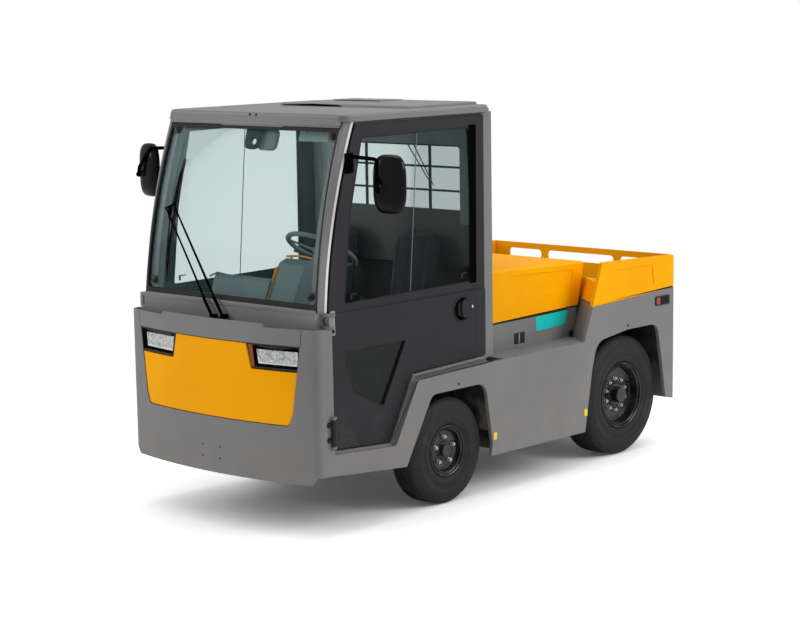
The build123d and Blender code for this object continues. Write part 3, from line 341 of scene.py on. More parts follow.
def lamp_red():
    f = Finish("lamp_red")
    ribs = f.node("TexWave", {"Vector": f.place(), "Scale": 60.0}, bands_direction="Z")
    f.wear(Base_Color=f.mix(ribs, srgb(120, 6, 8), srgb(200, 20, 18)), Roughness=0.15 + ribs * 0.1,
           Normal=f.bump(ribs, 0.0006), Coat_Weight=0.6)


glass("cab_glass", (0.93, 0.965, 0.965), srgb(120, 150, 150), 0.015)
# The door pane's dark film is what the painted shade below 0.95 m shows.
glass("door_glass", (0.90, 0.94, 0.935), srgb(30, 35, 34), 0.02, painted_shade_below=0.95)
glass("lamp_clear", (0.93, 0.95, 0.97), srgb(220, 225, 230), 0.06)
lamp_crystal()
lamp_red()
CAD_FINISH = {"door_glass_left": "door_glass", "door_glass_right": "door_glass"}
for node_name, cad in frame["nodes"].items():
    slot_name = next(p["material_slot"] for p in frame["record"]["subparts"] if p["node"] == node_name)
    chosen = FINISHES[CAD_FINISH.get(node_name, slot_name)]
    cad.data.materials.clear()
    cad.data.materials.append(chosen)
print("CAD nodes finished:", len(frame["nodes"]))

# %% [markdown]
# Small parts are made in mesh code. A builder class holds one growing mesh in drawing millimetres: plates
# with rounded corners, turned profiles, tubes, blocks and hexagon heads. When a piece is complete, it
# becomes an object with a finish and rides on a body of the frame.


# %% Mesh builder
def facing(origin, across_it, up_it):
    """Matrix that puts flat work (x, y) on a face, with its z pointing out of the face."""
    u, v = Vector(across_it).normalized(), Vector(up_it).normalized()
    n = u.cross(v).normalized()
    return Matrix.Translation(origin) @ Matrix((u, n.cross(u), n)).transposed().to_4x4()


def on_side(*place):
    """Face that looks to the vehicle's left."""
    return facing(place, (0, 1, 0), (0, 0, 1))


def on_front(*place):
    return facing(place, (1, 0, 0), (0, 0, 1))


def on_rear(*place):
    return facing(place, (-1, 0, 0), (0, 0, 1))


def rounded(corners, steps=5):
    """Outline with rounded corners; each corner is (u, v, radius)."""
    path = []
    for i, (u, v, r) in enumerate(corners):
        here = Vector((u, v))
        before, after = Vector(corners[i - 1][:2]), Vector(corners[(i + 1) % len(corners)][:2])
        if r <= 0:
            path.append(here)
            continue
        a, b = (before - here).normalized(), (after - here).normalized()
        half = a.angle(b) / 2
        reach, middle = r / tan(half), here + (a + b).normalized() * (r / sin(half))
        first, last = here + a * reach - middle, here + b * reach - middle
        turn = first.angle_signed(last)
        for k in range(steps + 1):
            angle = -turn * k / steps
            path.append(middle + Matrix.Rotation(angle, 2) @ first)
    return path


def oblong(w, h, r):
    return [(-w / 2, -h / 2, r), (w / 2, -h / 2, r), (w / 2, h / 2, r), (-w / 2, h / 2, r)]


class Shape:
    def __init__(self):
        self.mesh = bmesh.new()

    def add(self, points, faces, matrix=Matrix.Identity(4)):
        made = [self.mesh.verts.new(matrix @ Vector(p)) for p in points]
        for face in faces:
            self.mesh.faces.new([made[i] for i in face])
        return made

    def rings(self, rings, matrix=Matrix.Identity(4), closed=True, caps=True):
        """Skin over rings of points that all have the same count."""
        n = len(rings[0])
        faces = []
        for i in range(len(rings) - 1):
            for j in range(n if closed else n - 1):
                k = (j + 1) % n
                faces.append((i * n + j, i * n + k, (i + 1) * n + k, (i + 1) * n + j))
        if caps and closed:
            faces.append(tuple(reversed(range(n))))
            faces.append(tuple(range((len(rings) - 1) * n, len(rings) * n)))
        self.add([p for ring in rings for p in ring], faces, matrix)
        return self

    def plate(self, corners, low, high, matrix, edge=0.8, steps=5):
        """Plate with rounded corners and softened edges, from low to high along the face's normal."""
        flat = rounded(corners, steps)
        middle = sum(flat, Vector((0, 0))) / len(flat)

        def shrunk(by):
            out = []
            for p in flat:
                d = p - middle
                out.append(middle + d * max(1 - by / max(d.length, by * 2), 0))
            return out
        levels = [(low, edge), (low + edge, 0), (high - edge, 0), (high, edge)]
        return self.rings([[(p.x, p.y, z) for p in shrunk(by)] for z, by in levels], matrix)

    def block(self, low, high, edge=2.0):
        w, d, h = (b - a for a, b in zip(low, high))
        here = Matrix.Translation(((low[0] + high[0]) / 2, (low[1] + high[1]) / 2, 0))
        corners = oblong(w, d, min(edge, w / 2.1, d / 2.1))
        return self.plate(corners, low[2], high[2], here, min(edge, h / 2.1), 2)

    def turned(self, profile, matrix, n=32, caps=True):
        """Turned part; profile is (radius, height) from one end to the other, about the face's normal."""
        turns = [2 * pi * k / n for k in range(n)]
        rings = [[(r * cos(a), r * sin(a), z) for a in turns] for r, z in profile]
        return self.rings(rings, matrix, caps=caps)

    def tube(self, path, radius, n=10, flat=1.0):
        """Round or flattened bar along a path; radius is one number or one for each point."""
        path = [Vector(p) for p in path]
        radii = radius if isinstance(radius, (list, tuple)) else [radius] * len(path)
        rings, side = [], None
        for i, p in enumerate(path):
            ahead_of = (path[min(i + 1, len(path) - 1)] - path[max(i - 1, 0)]).normalized()
            if side is None:
                aside = Vector((0, 0, 1)) if abs(ahead_of.z) < 0.9 else Vector((0, 1, 0))
                side = ahead_of.cross(aside).normalized()
            side = (side - ahead_of * side.dot(ahead_of)).normalized()
            other = ahead_of.cross(side)
            rings.append([p + side * (radii[i] * cos(a)) + other * (radii[i] * flat * sin(a))
                          for a in (2 * pi * k / n for k in range(n))])
        return self.rings(rings)

    def bolt(self, matrix, r, head, washer=1.5):
        """Hexagon head on a round washer."""
        self.turned([(r * 1.5, 0), (r * 1.5, washer - 0.3), (r * 1.42, washer)], matrix, 20)
        self.turned([(r, washer), (r, washer + head * 0.8), (r * 0.86, washer + head)], matrix, 6)
        return self.turned([(r * 0.5, washer + head), (r * 0.45, washer + head + 0.6)], matrix, 12)

    def button(self, matrix, r, head):
        """Low round screw head with a socket in it."""
        profile = [(r, 0), (r, head * 0.4), (r * 0.8, head * 0.85), (r * 0.5, head), (r * 0.42, head),
                   (r * 0.4, head * 0.35)]
        return self.turned(profile, matrix, 18)

    def mirror(self):
        """Adds the same thing on the vehicle's other side."""
        mesh = self.mesh
        copy = bmesh.ops.duplicate(mesh, geom=[*mesh.verts, *mesh.edges, *mesh.faces])["geom"]
        for v in (g for g in copy if isinstance(g, bmesh.types.BMVert)):
            v.co.x = -v.co.x
        bmesh.ops.reverse_faces(mesh, faces=[g for g in copy if isinstance(g, bmesh.types.BMFace)])
        return self

    def piece(self, name, finish, slot, smooth=32, body="chassis", side=1):
        bmesh.ops.remove_doubles(self.mesh, verts=self.mesh.verts, dist=0.002)
        bmesh.ops.recalc_face_normals(self.mesh, faces=self.mesh.faces)
        if side < 0:
            for v in self.mesh.verts:
                v.co.x = -v.co.x
            bmesh.ops.reverse_faces(self.mesh, faces=self.mesh.faces)
        self.mesh.transform(TO_FRAME)
        data = bpy.data.meshes.new(name)
        self.mesh.to_mesh(data)
        self.mesh.free()
        data.materials.append(FINISHES[finish])
        data.shade_smooth()
        data.set_sharp_from_angle(angle=radians(smooth))
        made = placed(name, data)
        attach(made, body)
        return made


print("builder ready")

# %% [markdown]
# The tyres are industrial pneumatic ones: a plain sidewall with a few moulded rings, and a ribbed tread
# with zigzag grooves and notched shoulders. Wrapping a picture of a tread would give no depth, so the
# section of the tyre is turned in small steps, and the groove edges swing and drop from step to step.

# %% Tyres
WHEELS = {
    "front": {"y": 0.0, "radius": 276.0, "width": 170.0, "flange": 134.0, "pitches": 46},
    "rear": {"y": 1513.5, "radius": 338.0, "width": 216.0, "flange": 187.0, "pitches": 56},
}
WHEEL_FACE = 621.0
GROOVES = (-0.60, -0.20, 0.20, 0.60)
GROOVE_HALF, GROOVE_DEPTH, ZIGZAG = 0.035, 9.0, 0.035
STEPS_PER_PITCH, NOTCH_DEPTH, TREAD_SHARE = 6, 6.0, 0.66
HAND = {1: "left", -1: "right"}


def tread_lines():
    """Lines across the tread: (place from -1 to 1, depth, swing of the zigzag, in a shoulder notch)."""
    lines = [(-1.0, 0, 0, 1), (-0.80, 0, 0, 1)]
    for g in GROOVES:
        lines += [(g - GROOVE_HALF * 1.5, 0, ZIGZAG, 0), (g - GROOVE_HALF, GROOVE_DEPTH, ZIGZAG, 0),
                  (g + GROOVE_HALF, GROOVE_DEPTH, ZIGZAG, 0), (g + GROOVE_HALF * 1.5, 0, ZIGZAG, 0)]
    return lines + [(0.80, 0, 0, 1), (1.0, 0, 0, 1)]


# Sidewall: share of half the width, then depth in from the tread, share of the wall, or rise off the flange.
SHOULDER = ((0.70, 2), (0.80, 9), (0.87, 18), (0.905, 22), (0.91, 26), (0.94, 30))
WALL = ((0.975, 0.66), (0.99, 0.60), (1.0, 0.59), (1.0, 0.56), (0.993, 0.55), (0.995, 0.40), (0.99, 0.30),
        (1.0, 0.29), (1.0, 0.25), (0.975, 0.24), (0.955, 0.14), (0.93, 0.12))
BEAD = ((0.90, 6), (0.82, 1), (0.79, -17))


def side_rings(h, r, f):
    """Sidewall from the tread's edge in to the bead, as (x, radius)."""
    wall = [(u * h, f + share * (r - f)) for u, share in WALL]
    return [(u * h, r - drop) for u, drop in SHOULDER] + wall + [(u * h, f + rise) for u, rise in BEAD]


def on_wheel(shape, what, finish, slot, smooth, which, side):
    """Finishes a piece that rides on one wheel."""
    body = f"wheel_{which}_{HAND[side]}"
    return shape.piece(f"{body}_{what}", finish, slot, smooth, body, side)


def make_tyre(which, side):
    w = WHEELS[which]
    h, r = w["width"] / 2, w["radius"]
    middle = Vector((WHEEL_FACE - h, w["y"], r))
    count = w["pitches"] * STEPS_PER_PITCH
    outer = side_rings(h, r, w["flange"])
    rings = []
    for k in range(count):
        phase = k % STEPS_PER_PITCH
        swing = 1 if phase < STEPS_PER_PITCH / 2 else -1
        ring = [(-x, rad) for x, rad in reversed(outer)]
        for u, depth, zig, notch in tread_lines():
            drop = depth + (NOTCH_DEPTH if notch and phase in (1, 2) else 0)
            ring.append(((u + zig * swing) * TREAD_SHARE * h, r - drop - 1.2 * u * u))
        a = 2 * pi * (k + 0.5 * (which == "rear")) / count
        up, down = sin(a), -cos(a)
        rings.append([middle + Vector((x, rad * up, rad * down)) for x, rad in ring + outer])
    shape = Shape().rings(rings + rings[:1], caps=False)
    tyre = on_wheel(shape, "tyre", "tyre", "tyre", 40, which, side)
    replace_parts(tyre, f"tyre_{which}_{HAND[side]}")
    print(tyre.name, len(tyre.data.polygons), "faces")


for which_axle in WHEELS:
    for hand in HAND:
        make_tyre(which_axle, hand)

# %% [markdown]
# The rims are pressed steel in gloss black. The edge is rolled into two lips, the barrel steps down to the
# dish, and the dish carries a ring of bright nuts round a hub with the axle's stub in it. A turned profile
# gives smooth lips that catch light.

# %% Rims, hubs and nuts
RIM_PLACE = {"front": {"dish": 44.0, "hub": 30.0, "nuts": 5, "circle": 140.0, "cap": 44.0, "rise": 9.0},
             "rear": {"dish": 40.0, "hub": 40.0, "nuts": 10, "circle": 178.0, "cap": 62.0, "rise": 14.0}}
# Lips and back of the rim: millimetres in from the flange, share of half the tyre's width.
RIM_LIPS = ((17, 0.79), (2, 0.80), (0, 0.83), (0, 0.89), (2, 0.915), (6, 0.92), (9, 0.90), (11, 0.82),
            (17, 0.79), (19, 0.84), (22, 0.85), (25, 0.82), (28, 0.60))
RIM_BACK = ((34, -0.6), (28, -0.79), (8, -0.82), (0, -0.84), (0, -0.80), (17, -0.78))
STUB_BACK = 10.0


def make_rim(which, side):
    w, p = WHEELS[which], RIM_PLACE[which]
    h, f, dish, core, cap = w["width"] / 2, w["flange"], p["dish"], p["hub"], p["cap"]
    place = on_side(WHEEL_FACE - h, w["y"], w["radius"])
    face = [(f - u, v * h) for u, v in RIM_LIPS] + [
        (f - 30, dish + 14), (f - 34, dish + 3), (f - 40, dish), (core + 30, dish), (core + 26, dish + 1.5),
        (core + 22, dish + 1.5), (core + 18, dish)]
    back = [(core + 18, dish - 12), (f - 42, dish - 12)] + [(f - u, v * h) for u, v in RIM_BACK]
    shape = Shape().turned(face + back + face[:1], place, 96, caps=False)
    rim = on_wheel(shape, "rim", "rim_black", "rim_black", 35, which, side)
    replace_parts(rim, f"rim_{which}_{HAND[side]}")
    top, end, stub = dish + p["rise"], h - STUB_BACK, core + 4
    hub = Shape()
    hub.turned([(core + 20, dish - 11), (core + 20, dish - 1), (cap + 3, dish + 1), (cap + 1, dish + 3),
                (cap, top - 3), (cap - 3, top), (cap - 12, top), (cap - 14, top - 2), (6, top - 2)],
               place, 64)
    hub.turned([(stub, dish + 4), (stub, end - 3), (stub - 3, end), (4, end)], place, 40)
    stem = place @ Matrix.Rotation(radians(20), 4, "Z") @ Matrix.Translation((f - 44, 0, dish))
    hub.turned([(5, -2), (5, 6), (3.5, 9), (3.5, 24), (4.2, 25), (4.2, 33), (3, 35)], stem, 12)
    on_wheel(hub, "hub", "rim_black", "rim_black", 35, which, side)
    nuts = Shape()
    for k in range(p["nuts"]):
        a = radians(90 + 360 * k / p["nuts"])
        reach = p["circle"] / 2
        spot = place @ Matrix.Translation((reach * cos(a), reach * sin(a), dish))
        nuts.turned([(14, -1), (14, 2), (12, 6), (11.6, 7)], spot, 20)
        nuts.turned([(11.4, 6), (11.4, 17), (9.6, 19)], spot @ Matrix.Rotation(a * 3, 4, "Z"), 6)
        nuts.turned([(5.6, 18), (5.6, 24), (4.6, 25)], spot, 14)
    on_wheel(nuts, "nuts", "bright_steel", "bright_steel", 30, which, side)


for which_axle in WHEELS:
    for hand in HAND:
        make_rim(which_axle, hand)
print("rims and nuts made")

# %% [markdown]
# The nose is a bent plate whose front is an arc with tight corners. Seams and lamps have to follow it, so
# one function gives the depth of the plate's face at each place across the vehicle.

# %% The curved nose
FRONT, NOSE_RADIUS, HALF = -1067.5, 2619.8, 660.0


def nose_y(x, depth=0.0):
    radius = NOSE_RADIUS - depth
    return FRONT + NOSE_RADIUS - sqrt(radius * radius - x * x)


def nose_plate(shape, corners, outer, inner, edge=1.0, steps=4):
    """Plate on the nose: corners are (x, z, radius), and depths are counted in from the face."""
    flat = rounded(corners, steps)
    middle = sum(flat, Vector((0, 0))) / len(flat)
    dense = []
    for i, p in enumerate(flat):
        q = flat[(i + 1) % len(flat)]
        parts = max(1, int(abs(q.x - p.x) / 40))
        dense += [p.lerp(q, k / parts) for k in range(parts)]

    def ring(depth, by):
        out = []
        for p in dense:
            d = p - middle
            s = middle + d * (1 - by / max(d.length, 1))
            out.append((s.x, nose_y(s.x, depth), s.y))
        return out
    return shape.rings([ring(inner, 0), ring(outer + edge, 0), ring(outer, edge)])


def nose_line(shape, points, width, outer, inner):
    """Thin strip along a line of (x, z) on the nose."""
    for (x0, z0), (x1, z1) in zip(points, points[1:]):
        across_it = Vector((z1 - z0, x0 - x1)).normalized() * width / 2
        corners = [(x0 - across_it.x, z0 - across_it.y, 0), (x0 + across_it.x, z0 + across_it.y, 0),
                   (x1 + across_it.x, z1 + across_it.y, 0), (x1 - across_it.x, z1 - across_it.y, 0)]
        nose_plate(shape, corners, outer, inner, 0.1, 1)
    return shape


seams = nose_line(Shape(), [(567, 941), (576, 1019)], 3.0, -0.25, 1.0)
seams.mirror().piece("nose_seams", "seal_rubber", "seal_rubber")
print("nose depth at the lamps:", round(nose_y(450), 1))

# %% [markdown]
# Each headlamp is a deep black bezel round a crystalline silver lens, with a white strip along the lens's
# foot. The housing is set back behind the nose, so from this side the far lens reaches the yellow cover,
# and the near one starts behind the edge that carries the amber turn lamp. All of them follow the nose's
# curve.

# %% Headlamps
NEAR_LENS = [(323, 843, 4), (547, 843, 4), (552, 913, 4), (312, 913, 4)]
FAR_LENS = [(-505, 846, 4), (-281, 843, 4), (-268, 918, 4), (-512, 916, 4)]
BEZELS = ([(300, 828, 2), (549, 828, 2), (550, 842, 0), (297, 842, 0)],
          [(290, 914, 0), (553, 914, 0), (554, 930, 2), (287, 930, 2)],
          [(300, 842, 0), (322, 842, 0), (311, 914, 0), (290, 914, 0)],
          [(-552, 828, 2), (-285, 828, 2), (-282, 842, 0), (-553, 845, 0)],
          [(-553, 917, 0), (-270, 919, 0), (-268, 931, 2), (-555, 930, 2)],
          [(-553, 845, 0), (-506, 845, 0), (-513, 917, 0), (-555, 917, 0)])
TURN_LAMP = [(281, 826, 3), (299, 826, 3), (288, 932, 3), (262, 932, 3)]
lenses, strips, bezel = Shape(), Shape(), Shape()
for outline in (NEAR_LENS, FAR_LENS):
    (low_a, foot, _), (low_b, _, _) = outline[:2]
    nose_plate(lenses, outline, 3.6, 6.5, 1.2)
    strip_outline = [(low_a + 3, foot + 2, 1), (low_b - 3, foot + 2, 1), (low_b - 2, foot + 9, 1),
                     (low_a + 2, foot + 9, 1)]
    nose_plate(strips, strip_outline, 2.6, 4.2, 0.6)
for part in BEZELS:
    nose_plate(bezel, part, 4.2, 6.5, 0.8, 1)
lens_piece = lenses.piece("headlamp_lens_pair", "lamp_crystal", "lamp_clear", 30)
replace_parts(lens_piece, "headlamp_lenses")
strips.piece("headlamp_strips", "white_strip_and_painted_highlight", "lamp_clear", 30)
bezel.piece("headlamp_bezels", "deep_black", "trim_black")
nose_plate(Shape(), TURN_LAMP, 3.2, 5.5, 1.0).piece("turn_lamp", "amber", "lamp_red")
print("headlamps made")

# %% [markdown]
# The windscreen leans back from its foot and bows forward a little. The wiper's arms and the corner clamps
# lie on it, so one function turns a place across and up the pane into a point in front of it, and another
# gives the pane's direction there.

# %% The bowed windscreen
SCREEN_FOOT, SCREEN_HEAD, SCREEN_BOW = Vector((-920.0, 1098.0)), Vector((-716.0, 1966.0)), 33.0
screen_chord = SCREEN_HEAD - SCREEN_FOOT
SCREEN_R = (screen_chord.length_squared / 4 + SCREEN_BOW ** 2) / (2 * SCREEN_BOW)
inward = Vector((screen_chord.y, -screen_chord.x)).normalized()
SCREEN_MID = (SCREEN_FOOT + SCREEN_HEAD) / 2 + inward * (SCREEN_R - SCREEN_BOW)


def on_screen(x, z, depth):
    reach = SCREEN_R + depth
    return Vector((x, SCREEN_MID.x - sqrt(reach * reach - (z - SCREEN_MID.y) ** 2), z))


def screen_out(z):
    """Direction straight out of the pane at a height."""
    return (on_screen(0, z, 10) - Vector((0, SCREEN_MID.x, SCREEN_MID.y))).normalized()


def screen_spot(x, z, depth):
    out = screen_out(z)
    return facing(on_screen(x, z, depth), (1, 0, 0), (0, out.z, -out.y))


CLAMPS_AT = ((552, 1168), (545, 1920))
clamps = Shape()
for x, z in CLAMPS_AT:
    for s in (-1, 1):
        clamps.turned([(21, 0), (21, 5), (18, 8), (12, 9), (11, 14), (8, 15)], screen_spot(x * s, z, -2), 28)
clamps.piece("screen_clamps", "trim_black", "trim_black")
print("pane radius:", round(SCREEN_R), "mm")

# %% [markdown]
# The pillars beside the pane are rounded grey tubes. A white strip down their outer corner is a painted
# highlight, where the rounded edge would catch the light. The sheet below the pane laps over the foot of its
# seal. Both follow the bowed pane, so their sections are stacked along it.

# %% Pillar covers and sill
SEAL_FOOT, SEAL_HEAD, PILLAR_OUT = 611.0, 594.0, 609.0


def seal_edge(z):
    """Half the width of the pane's seal at a height."""
    return SEAL_FOOT + (SEAL_HEAD - SEAL_FOOT) * (z - SCREEN_FOOT.y) / (SCREEN_HEAD.y - SCREEN_FOOT.y)


RING_FOOT, RING_STEP, RING_COUNT = 1092, 37.2, 25
# Section of the painted highlight: a white strip on each pillar's outer rear corner, where a rounded edge
# would catch the light.
HIGHLIGHT_SECTION = ((-3, -37), (0.8, -37), (1.6, -42), (1.2, -52), (-3, -54))
cover_rings, highlight_rings = [], []
for k in range(RING_COUNT):
    z = RING_FOOT + RING_STEP * k
    inside, out = seal_edge(z), max(seal_edge(z) + 2, PILLAR_OUT)
    section = ((inside - 5, 3), (inside - 3, 6.6), (out - 4, 6.6), (out - 1, 4.5), (out, 0), (out, -50),
               (out - 4, -53), (inside - 6, -12))
    cover_rings.append([on_screen(x, z, depth) for x, depth in section])
    highlight_rings.append([on_screen(out + x, z, depth) for x, depth in HIGHLIGHT_SECTION])
covers, painted_highlights = Shape().rings(cover_rings).mirror(), Shape()
covers.block((-606, -941, 1083), (606, -929, 1107), 4)
covers.piece("pillar_covers", "body_grey", "body_grey", 50)
painted_highlights.rings(highlight_rings)
painted_highlights.mirror().piece("pillar_painted_highlights", "white_strip_and_painted_highlight", "body_grey", 50)
print("pillar covers made")

# %% [markdown]
# One wiper clears the whole screen, carried by two parallel arms so that the blade stays upright. The arms
# are tubes with thick roots, and the blade is a rubber lip held by pressed bows that spread the arm's
# force.

# %% Wiper
wiper = Shape()
PIVOTS = (Vector((2, -966, 1031)), Vector((-74, -966, 1024)))
KNEES = (on_screen(-428, 1556, 34), on_screen(-478, 1534, 34))
for pivot, knee in zip(PIVOTS, KNEES):
    wiper.turned([(13, -26), (13, -6), (15, -4), (15, 8), (10, 12), (6, 14)], on_front(*pivot), 24)
    elbow = pivot.lerp(knee, 0.16) + Vector((0, -4, 0))
    wiper.tube([pivot, elbow, pivot.lerp(knee, 0.2), pivot.lerp(knee, 0.86), knee], [9, 9, 6, 5, 5], 10, 0.7)
root, knee = PIVOTS[0], KNEES[0]
wiper.tube([root.lerp(knee, 0.22) + Vector((0, -7, 0)), root.lerp(knee, 0.84) + Vector((0, -4, 0))], 2.6, 8)
bar_end = Vector((8, 0, 0))
wiper.tube([KNEES[0] + bar_end, *KNEES, KNEES[1] - bar_end], [8, 9, 9, 8], 10, 0.5)
BLADE_TOP, BLADE_FOOT = (-424.0, 1784.0), (-444.0, 1160.0)


def on_blade(share, depth):
    x, z = (a + (b - a) * share for a, b in zip(BLADE_TOP, BLADE_FOOT))
    return on_screen(x, z, depth)


wiper.tube([on_blade(k / 12, 17) for k in range(13)], [2, 3.5] + [4] * 9 + [3.5, 2], 10, 0.8)
for a, b, lift in ((0.08, 0.42, 30), (0.58, 0.92, 30), (0.25, 0.75, 40)):
    wiper.tube([on_blade(a, 20), on_blade(a + (b - a) * 0.2, lift - 5), on_blade((a + b) / 2, lift),
                on_blade(b - (b - a) * 0.2, lift - 5), on_blade(b, 20)], [2.5, 3, 4, 3, 2.5], 8, 0.6)
hook = KNEES[0].lerp(KNEES[1], 0.5)
wiper.tube([hook, on_screen(-433, 1492, 44), on_screen(-433, 1478, 30)], [8, 7, 6], 10)
wiper.piece("wiper", "deep_black", "trim_black")
squeegee = Shape().tube([on_blade(0.01 + 0.98 * k / 12, 7) for k in range(13)], 6, 8, 0.3)
squeegee.piece("wiper_rubber", "seal_rubber", "seal_rubber")
print("wiper arms:", [round((k - p).length) for p, k in zip(PIVOTS, KNEES)], "mm")

# %% [markdown]
# A welded guard covers the rear window, so that a shifting load can't break it: flat frame bars and thin
# rods, with bolts into the cab wall. Two thin arms behind it are the rear wiper's. Inside, a pale lining
# rounds off the corner under the roof and covers the rear pillars.

# %% Rear window guard
REAR_GLASS_Y = 330.0
guard = Shape()
GUARD_OUT = [(-486, 1464), (486, 1464), (448, 1804), (-448, 1804)]
BAR_Y, RODS_Z, POSTS_X = REAR_GLASS_Y + 7, (1567, 1691), (-226, 226)
for (xa, za), (xb, zb) in zip(GUARD_OUT, GUARD_OUT[1:] + GUARD_OUT[:1]):
    guard.tube([(xa * 1.008, BAR_Y, za), (xb * 1.008, BAR_Y, zb)], 13, 8, 0.45)
for z in RODS_Z:
    reach = 482 - (z - 1468) * 38 / 332
    guard.tube([(-reach, BAR_Y, z), (reach, BAR_Y, z)], 10, 8, 0.6)
for x in POSTS_X:
    guard.tube([(x, BAR_Y, 1466), (x, BAR_Y, 1802)], 10, 8, 0.6)
for x, z in ((-478, 1470), (478, 1470), (-441, 1797), (441, 1797)):
    guard.bolt(on_rear(x, BAR_Y + 3, z), 6, 4)
guard_piece = guard.piece("rear_guard", "guard_grey", "trim_black")
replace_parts(guard_piece, "wiper_and_guard")
rear_wiper = Shape()
for x0, x1, z1 in ((75, 238, 1600), (118, 256, 1592)):
    rear_wiper.tube([(x0, REAR_GLASS_Y - 0.5, 1806), (x1, REAR_GLASS_Y - 0.5, z1)], [5, 4], 8, 0.4)
rear_wiper.piece("rear_wiper", "guard_grey", "trim_black")
COVE = [(314, 1809), (306, 1850), (288, 1905), (255, 1950), (205, 1980), (205, 1984), (314, 1984)]
lining = Shape().rings([[(x, y, z) for y, z in COVE] for x in (-532, 532)])
lining.plate(oblong(200, 66, 8), 0, 6, facing((340, -640, 1912), (1, 0, 0), (0, 0.25, 1)), 2)
for x in (285, 395):
    lining.button(facing((x, -646, 1924), (1, 0, 0), (0, 0.25, 1)), 9, 4)
for x0, x1, z0 in ((452, 533, 1400), (534.5, 598, 1110), (-533, -452, 1400), (-598, -534.5, 1110)):
    lining.block((x0, 308.5, z0), (x1, 313.5, 1984), 2)
lining.piece("roof_lining", "cab_lining", "cab_plastic", 40)
print("guard, rear wiper and lining made")

# %% [markdown]
# The mirrors are deep plastic shells on bent tube arms, with a ball joint on the back. The shell is a
# squashed rounded block that bulges at the back and ends in a lip round the mirror glass. Rings that shrink
# with a power curve give that bulge.

# %% Mirrors
MIRROR = Vector((847, -673, 1697))
MIRROR_TURN = radians(12)
BULGE = [(0.30, 21), (0.52, 20), (0.74, 15.5), (0.9, 8), (0.97, 0), (1.0, -10), (1.0, -19), (0.985, -21),
         (0.95, -21), (0.935, -16)]


def super_ring(w, h, y, power=3.4, n=40):
    """Ring of a rounded oblong in x and z."""
    turns = [2 * pi * k / n for k in range(n)]
    curve = [[copysign(abs(c) ** (2 / power), c) for c in (cos(a), sin(a))] for a in turns]
    return [(w / 2 * u, y, h / 2 * v) for u, v in curve]


def on_door(shape, name, finish, slot, side, smooth=40):
    """Finishes a piece that rides on one door."""
    return shape.piece(f"{name}_{HAND[side]}", finish, slot, smooth, f"door_{HAND[side]}_body", side)


def make_mirror(side):
    place = Matrix.Translation(MIRROR) @ Matrix.Rotation(MIRROR_TURN, 4, "Z")
    shell = Shape().rings([super_ring(174 * s, 279 * (1 - (1 - s) * 0.62), -y) for s, y in BULGE], place)
    joint = place @ Matrix.Translation((-38 * side, -20, -22))
    shell.turned([(24, -2), (22, 4), (14, 9), (12, 14)], joint @ Matrix.Rotation(pi / 2, 4, "X"), 28)
    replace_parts(on_door(shell, "mirror_shell", "mirror_shell", "trim_black", side, 50),
                f"mirror_{HAND[side]}")
    pane = Shape().rings([super_ring(162, 267, 15.5), super_ring(162, 267, 16.6),
                          super_ring(159, 264, 17.2)], place)
    on_door(pane, "mirror_pane", "reflector", "bright_steel", side, 30)
    ball = joint @ Vector((0, -18, 0))
    foot = Vector((625, on_screen(0, 1757, -56).y + 40, 1821))
    reach = [foot, foot + Vector((80, -2, -3)), Vector((780, -697, 1815)), Vector((794, -699, 1811))]
    if side > 0:
        reach += [Vector((799, -699, 1797)), Vector((800, -700, 1740)), ball + Vector((-8, -3, 26)), ball]
    else:
        reach += [Vector((806, -702, 1800)), ball + Vector((-14, -4, 40)), ball]
    arm = Shape().tube(reach, 9.5, 14)
    arm.turned([(0.5, -14), (9, -11), (13, -5), (14, 0), (13, 5), (9, 11), (0.5, 14)],
               Matrix.Translation(ball), 20)
    arm.turned([(13, -11), (13, 5), (11, 8), (4, 9)], on_side(*foot), 22)
    arm.block((612.5, foot.y - 34, 1742), (622, foot.y + 24, 1838), 4)
    for z in (1770, 1790):
        arm.bolt(on_side(622, foot.y, z), 6, 5)
    on_door(arm, "mirror_arm", "deep_black", "trim_black", side)


for hand in HAND:
    make_mirror(hand)
print("mirrors made")

# %% [markdown]
# The doors are frames with a flush sheet. Fine lines show where the frame's bars meet, a rubber seal holds
# the panes, a dark strip covers the window's rear edge, the round pocket has a paddle latch with a key
# barrel beside it, and the hinges are bent straps with bolts.

# %% Doors: seals, panes, latch and hinges
DOOR_LOW, DOOR_HIGH = 617.0, 612.0
WINDOW = [(-746, 1114, 20), (238, 1122, 26), (200, 1917, 26), (-604, 1909, 20),
          (on_screen(0, 1515.5, 0).y + 155, 1515.5, 700)]
HINGE_AT = Vector((672, -893))
LOW_WINDOW = [(-751, 889, 12), (-751, 840, 0), (-692, 680, 10), (-480, 579, 10), (-303, 894, 10)]
REAR_STRIP = [(190, 1117, 3), (243, 1117, 3), (251, 1925, 3), (193, 1925, 3)]
SEAL_FACE, PANE_FACE = 600.5, 606.0
LINE_PROUD, SILL_PROUD = 0.35, 4.95
# Fine lines on the door: face, how far they stand out of it, width, places (y, z).
DOOR_LINES = ((DOOR_HIGH, LINE_PROUD, 2.2, [(-600, 1912), (-643, 1969)]),
              (DOOR_HIGH, LINE_PROUD, 2.2, [(202, 1920), (306, 1969)]),
              (DOOR_HIGH, SILL_PROUD, 2.6, [(-842, 1077), (306, 1079)]),
              (DOOR_LOW, LINE_PROUD, 2.2, [(-250, 774), (232, 786), (232, 1060)]),
              (DOOR_LOW, LINE_PROUD, 2.2, [(258, 762), (306, 735)]),
              (DOOR_LOW, LINE_PROUD, 2.2, [(-841, 480), (-500, 456)]))


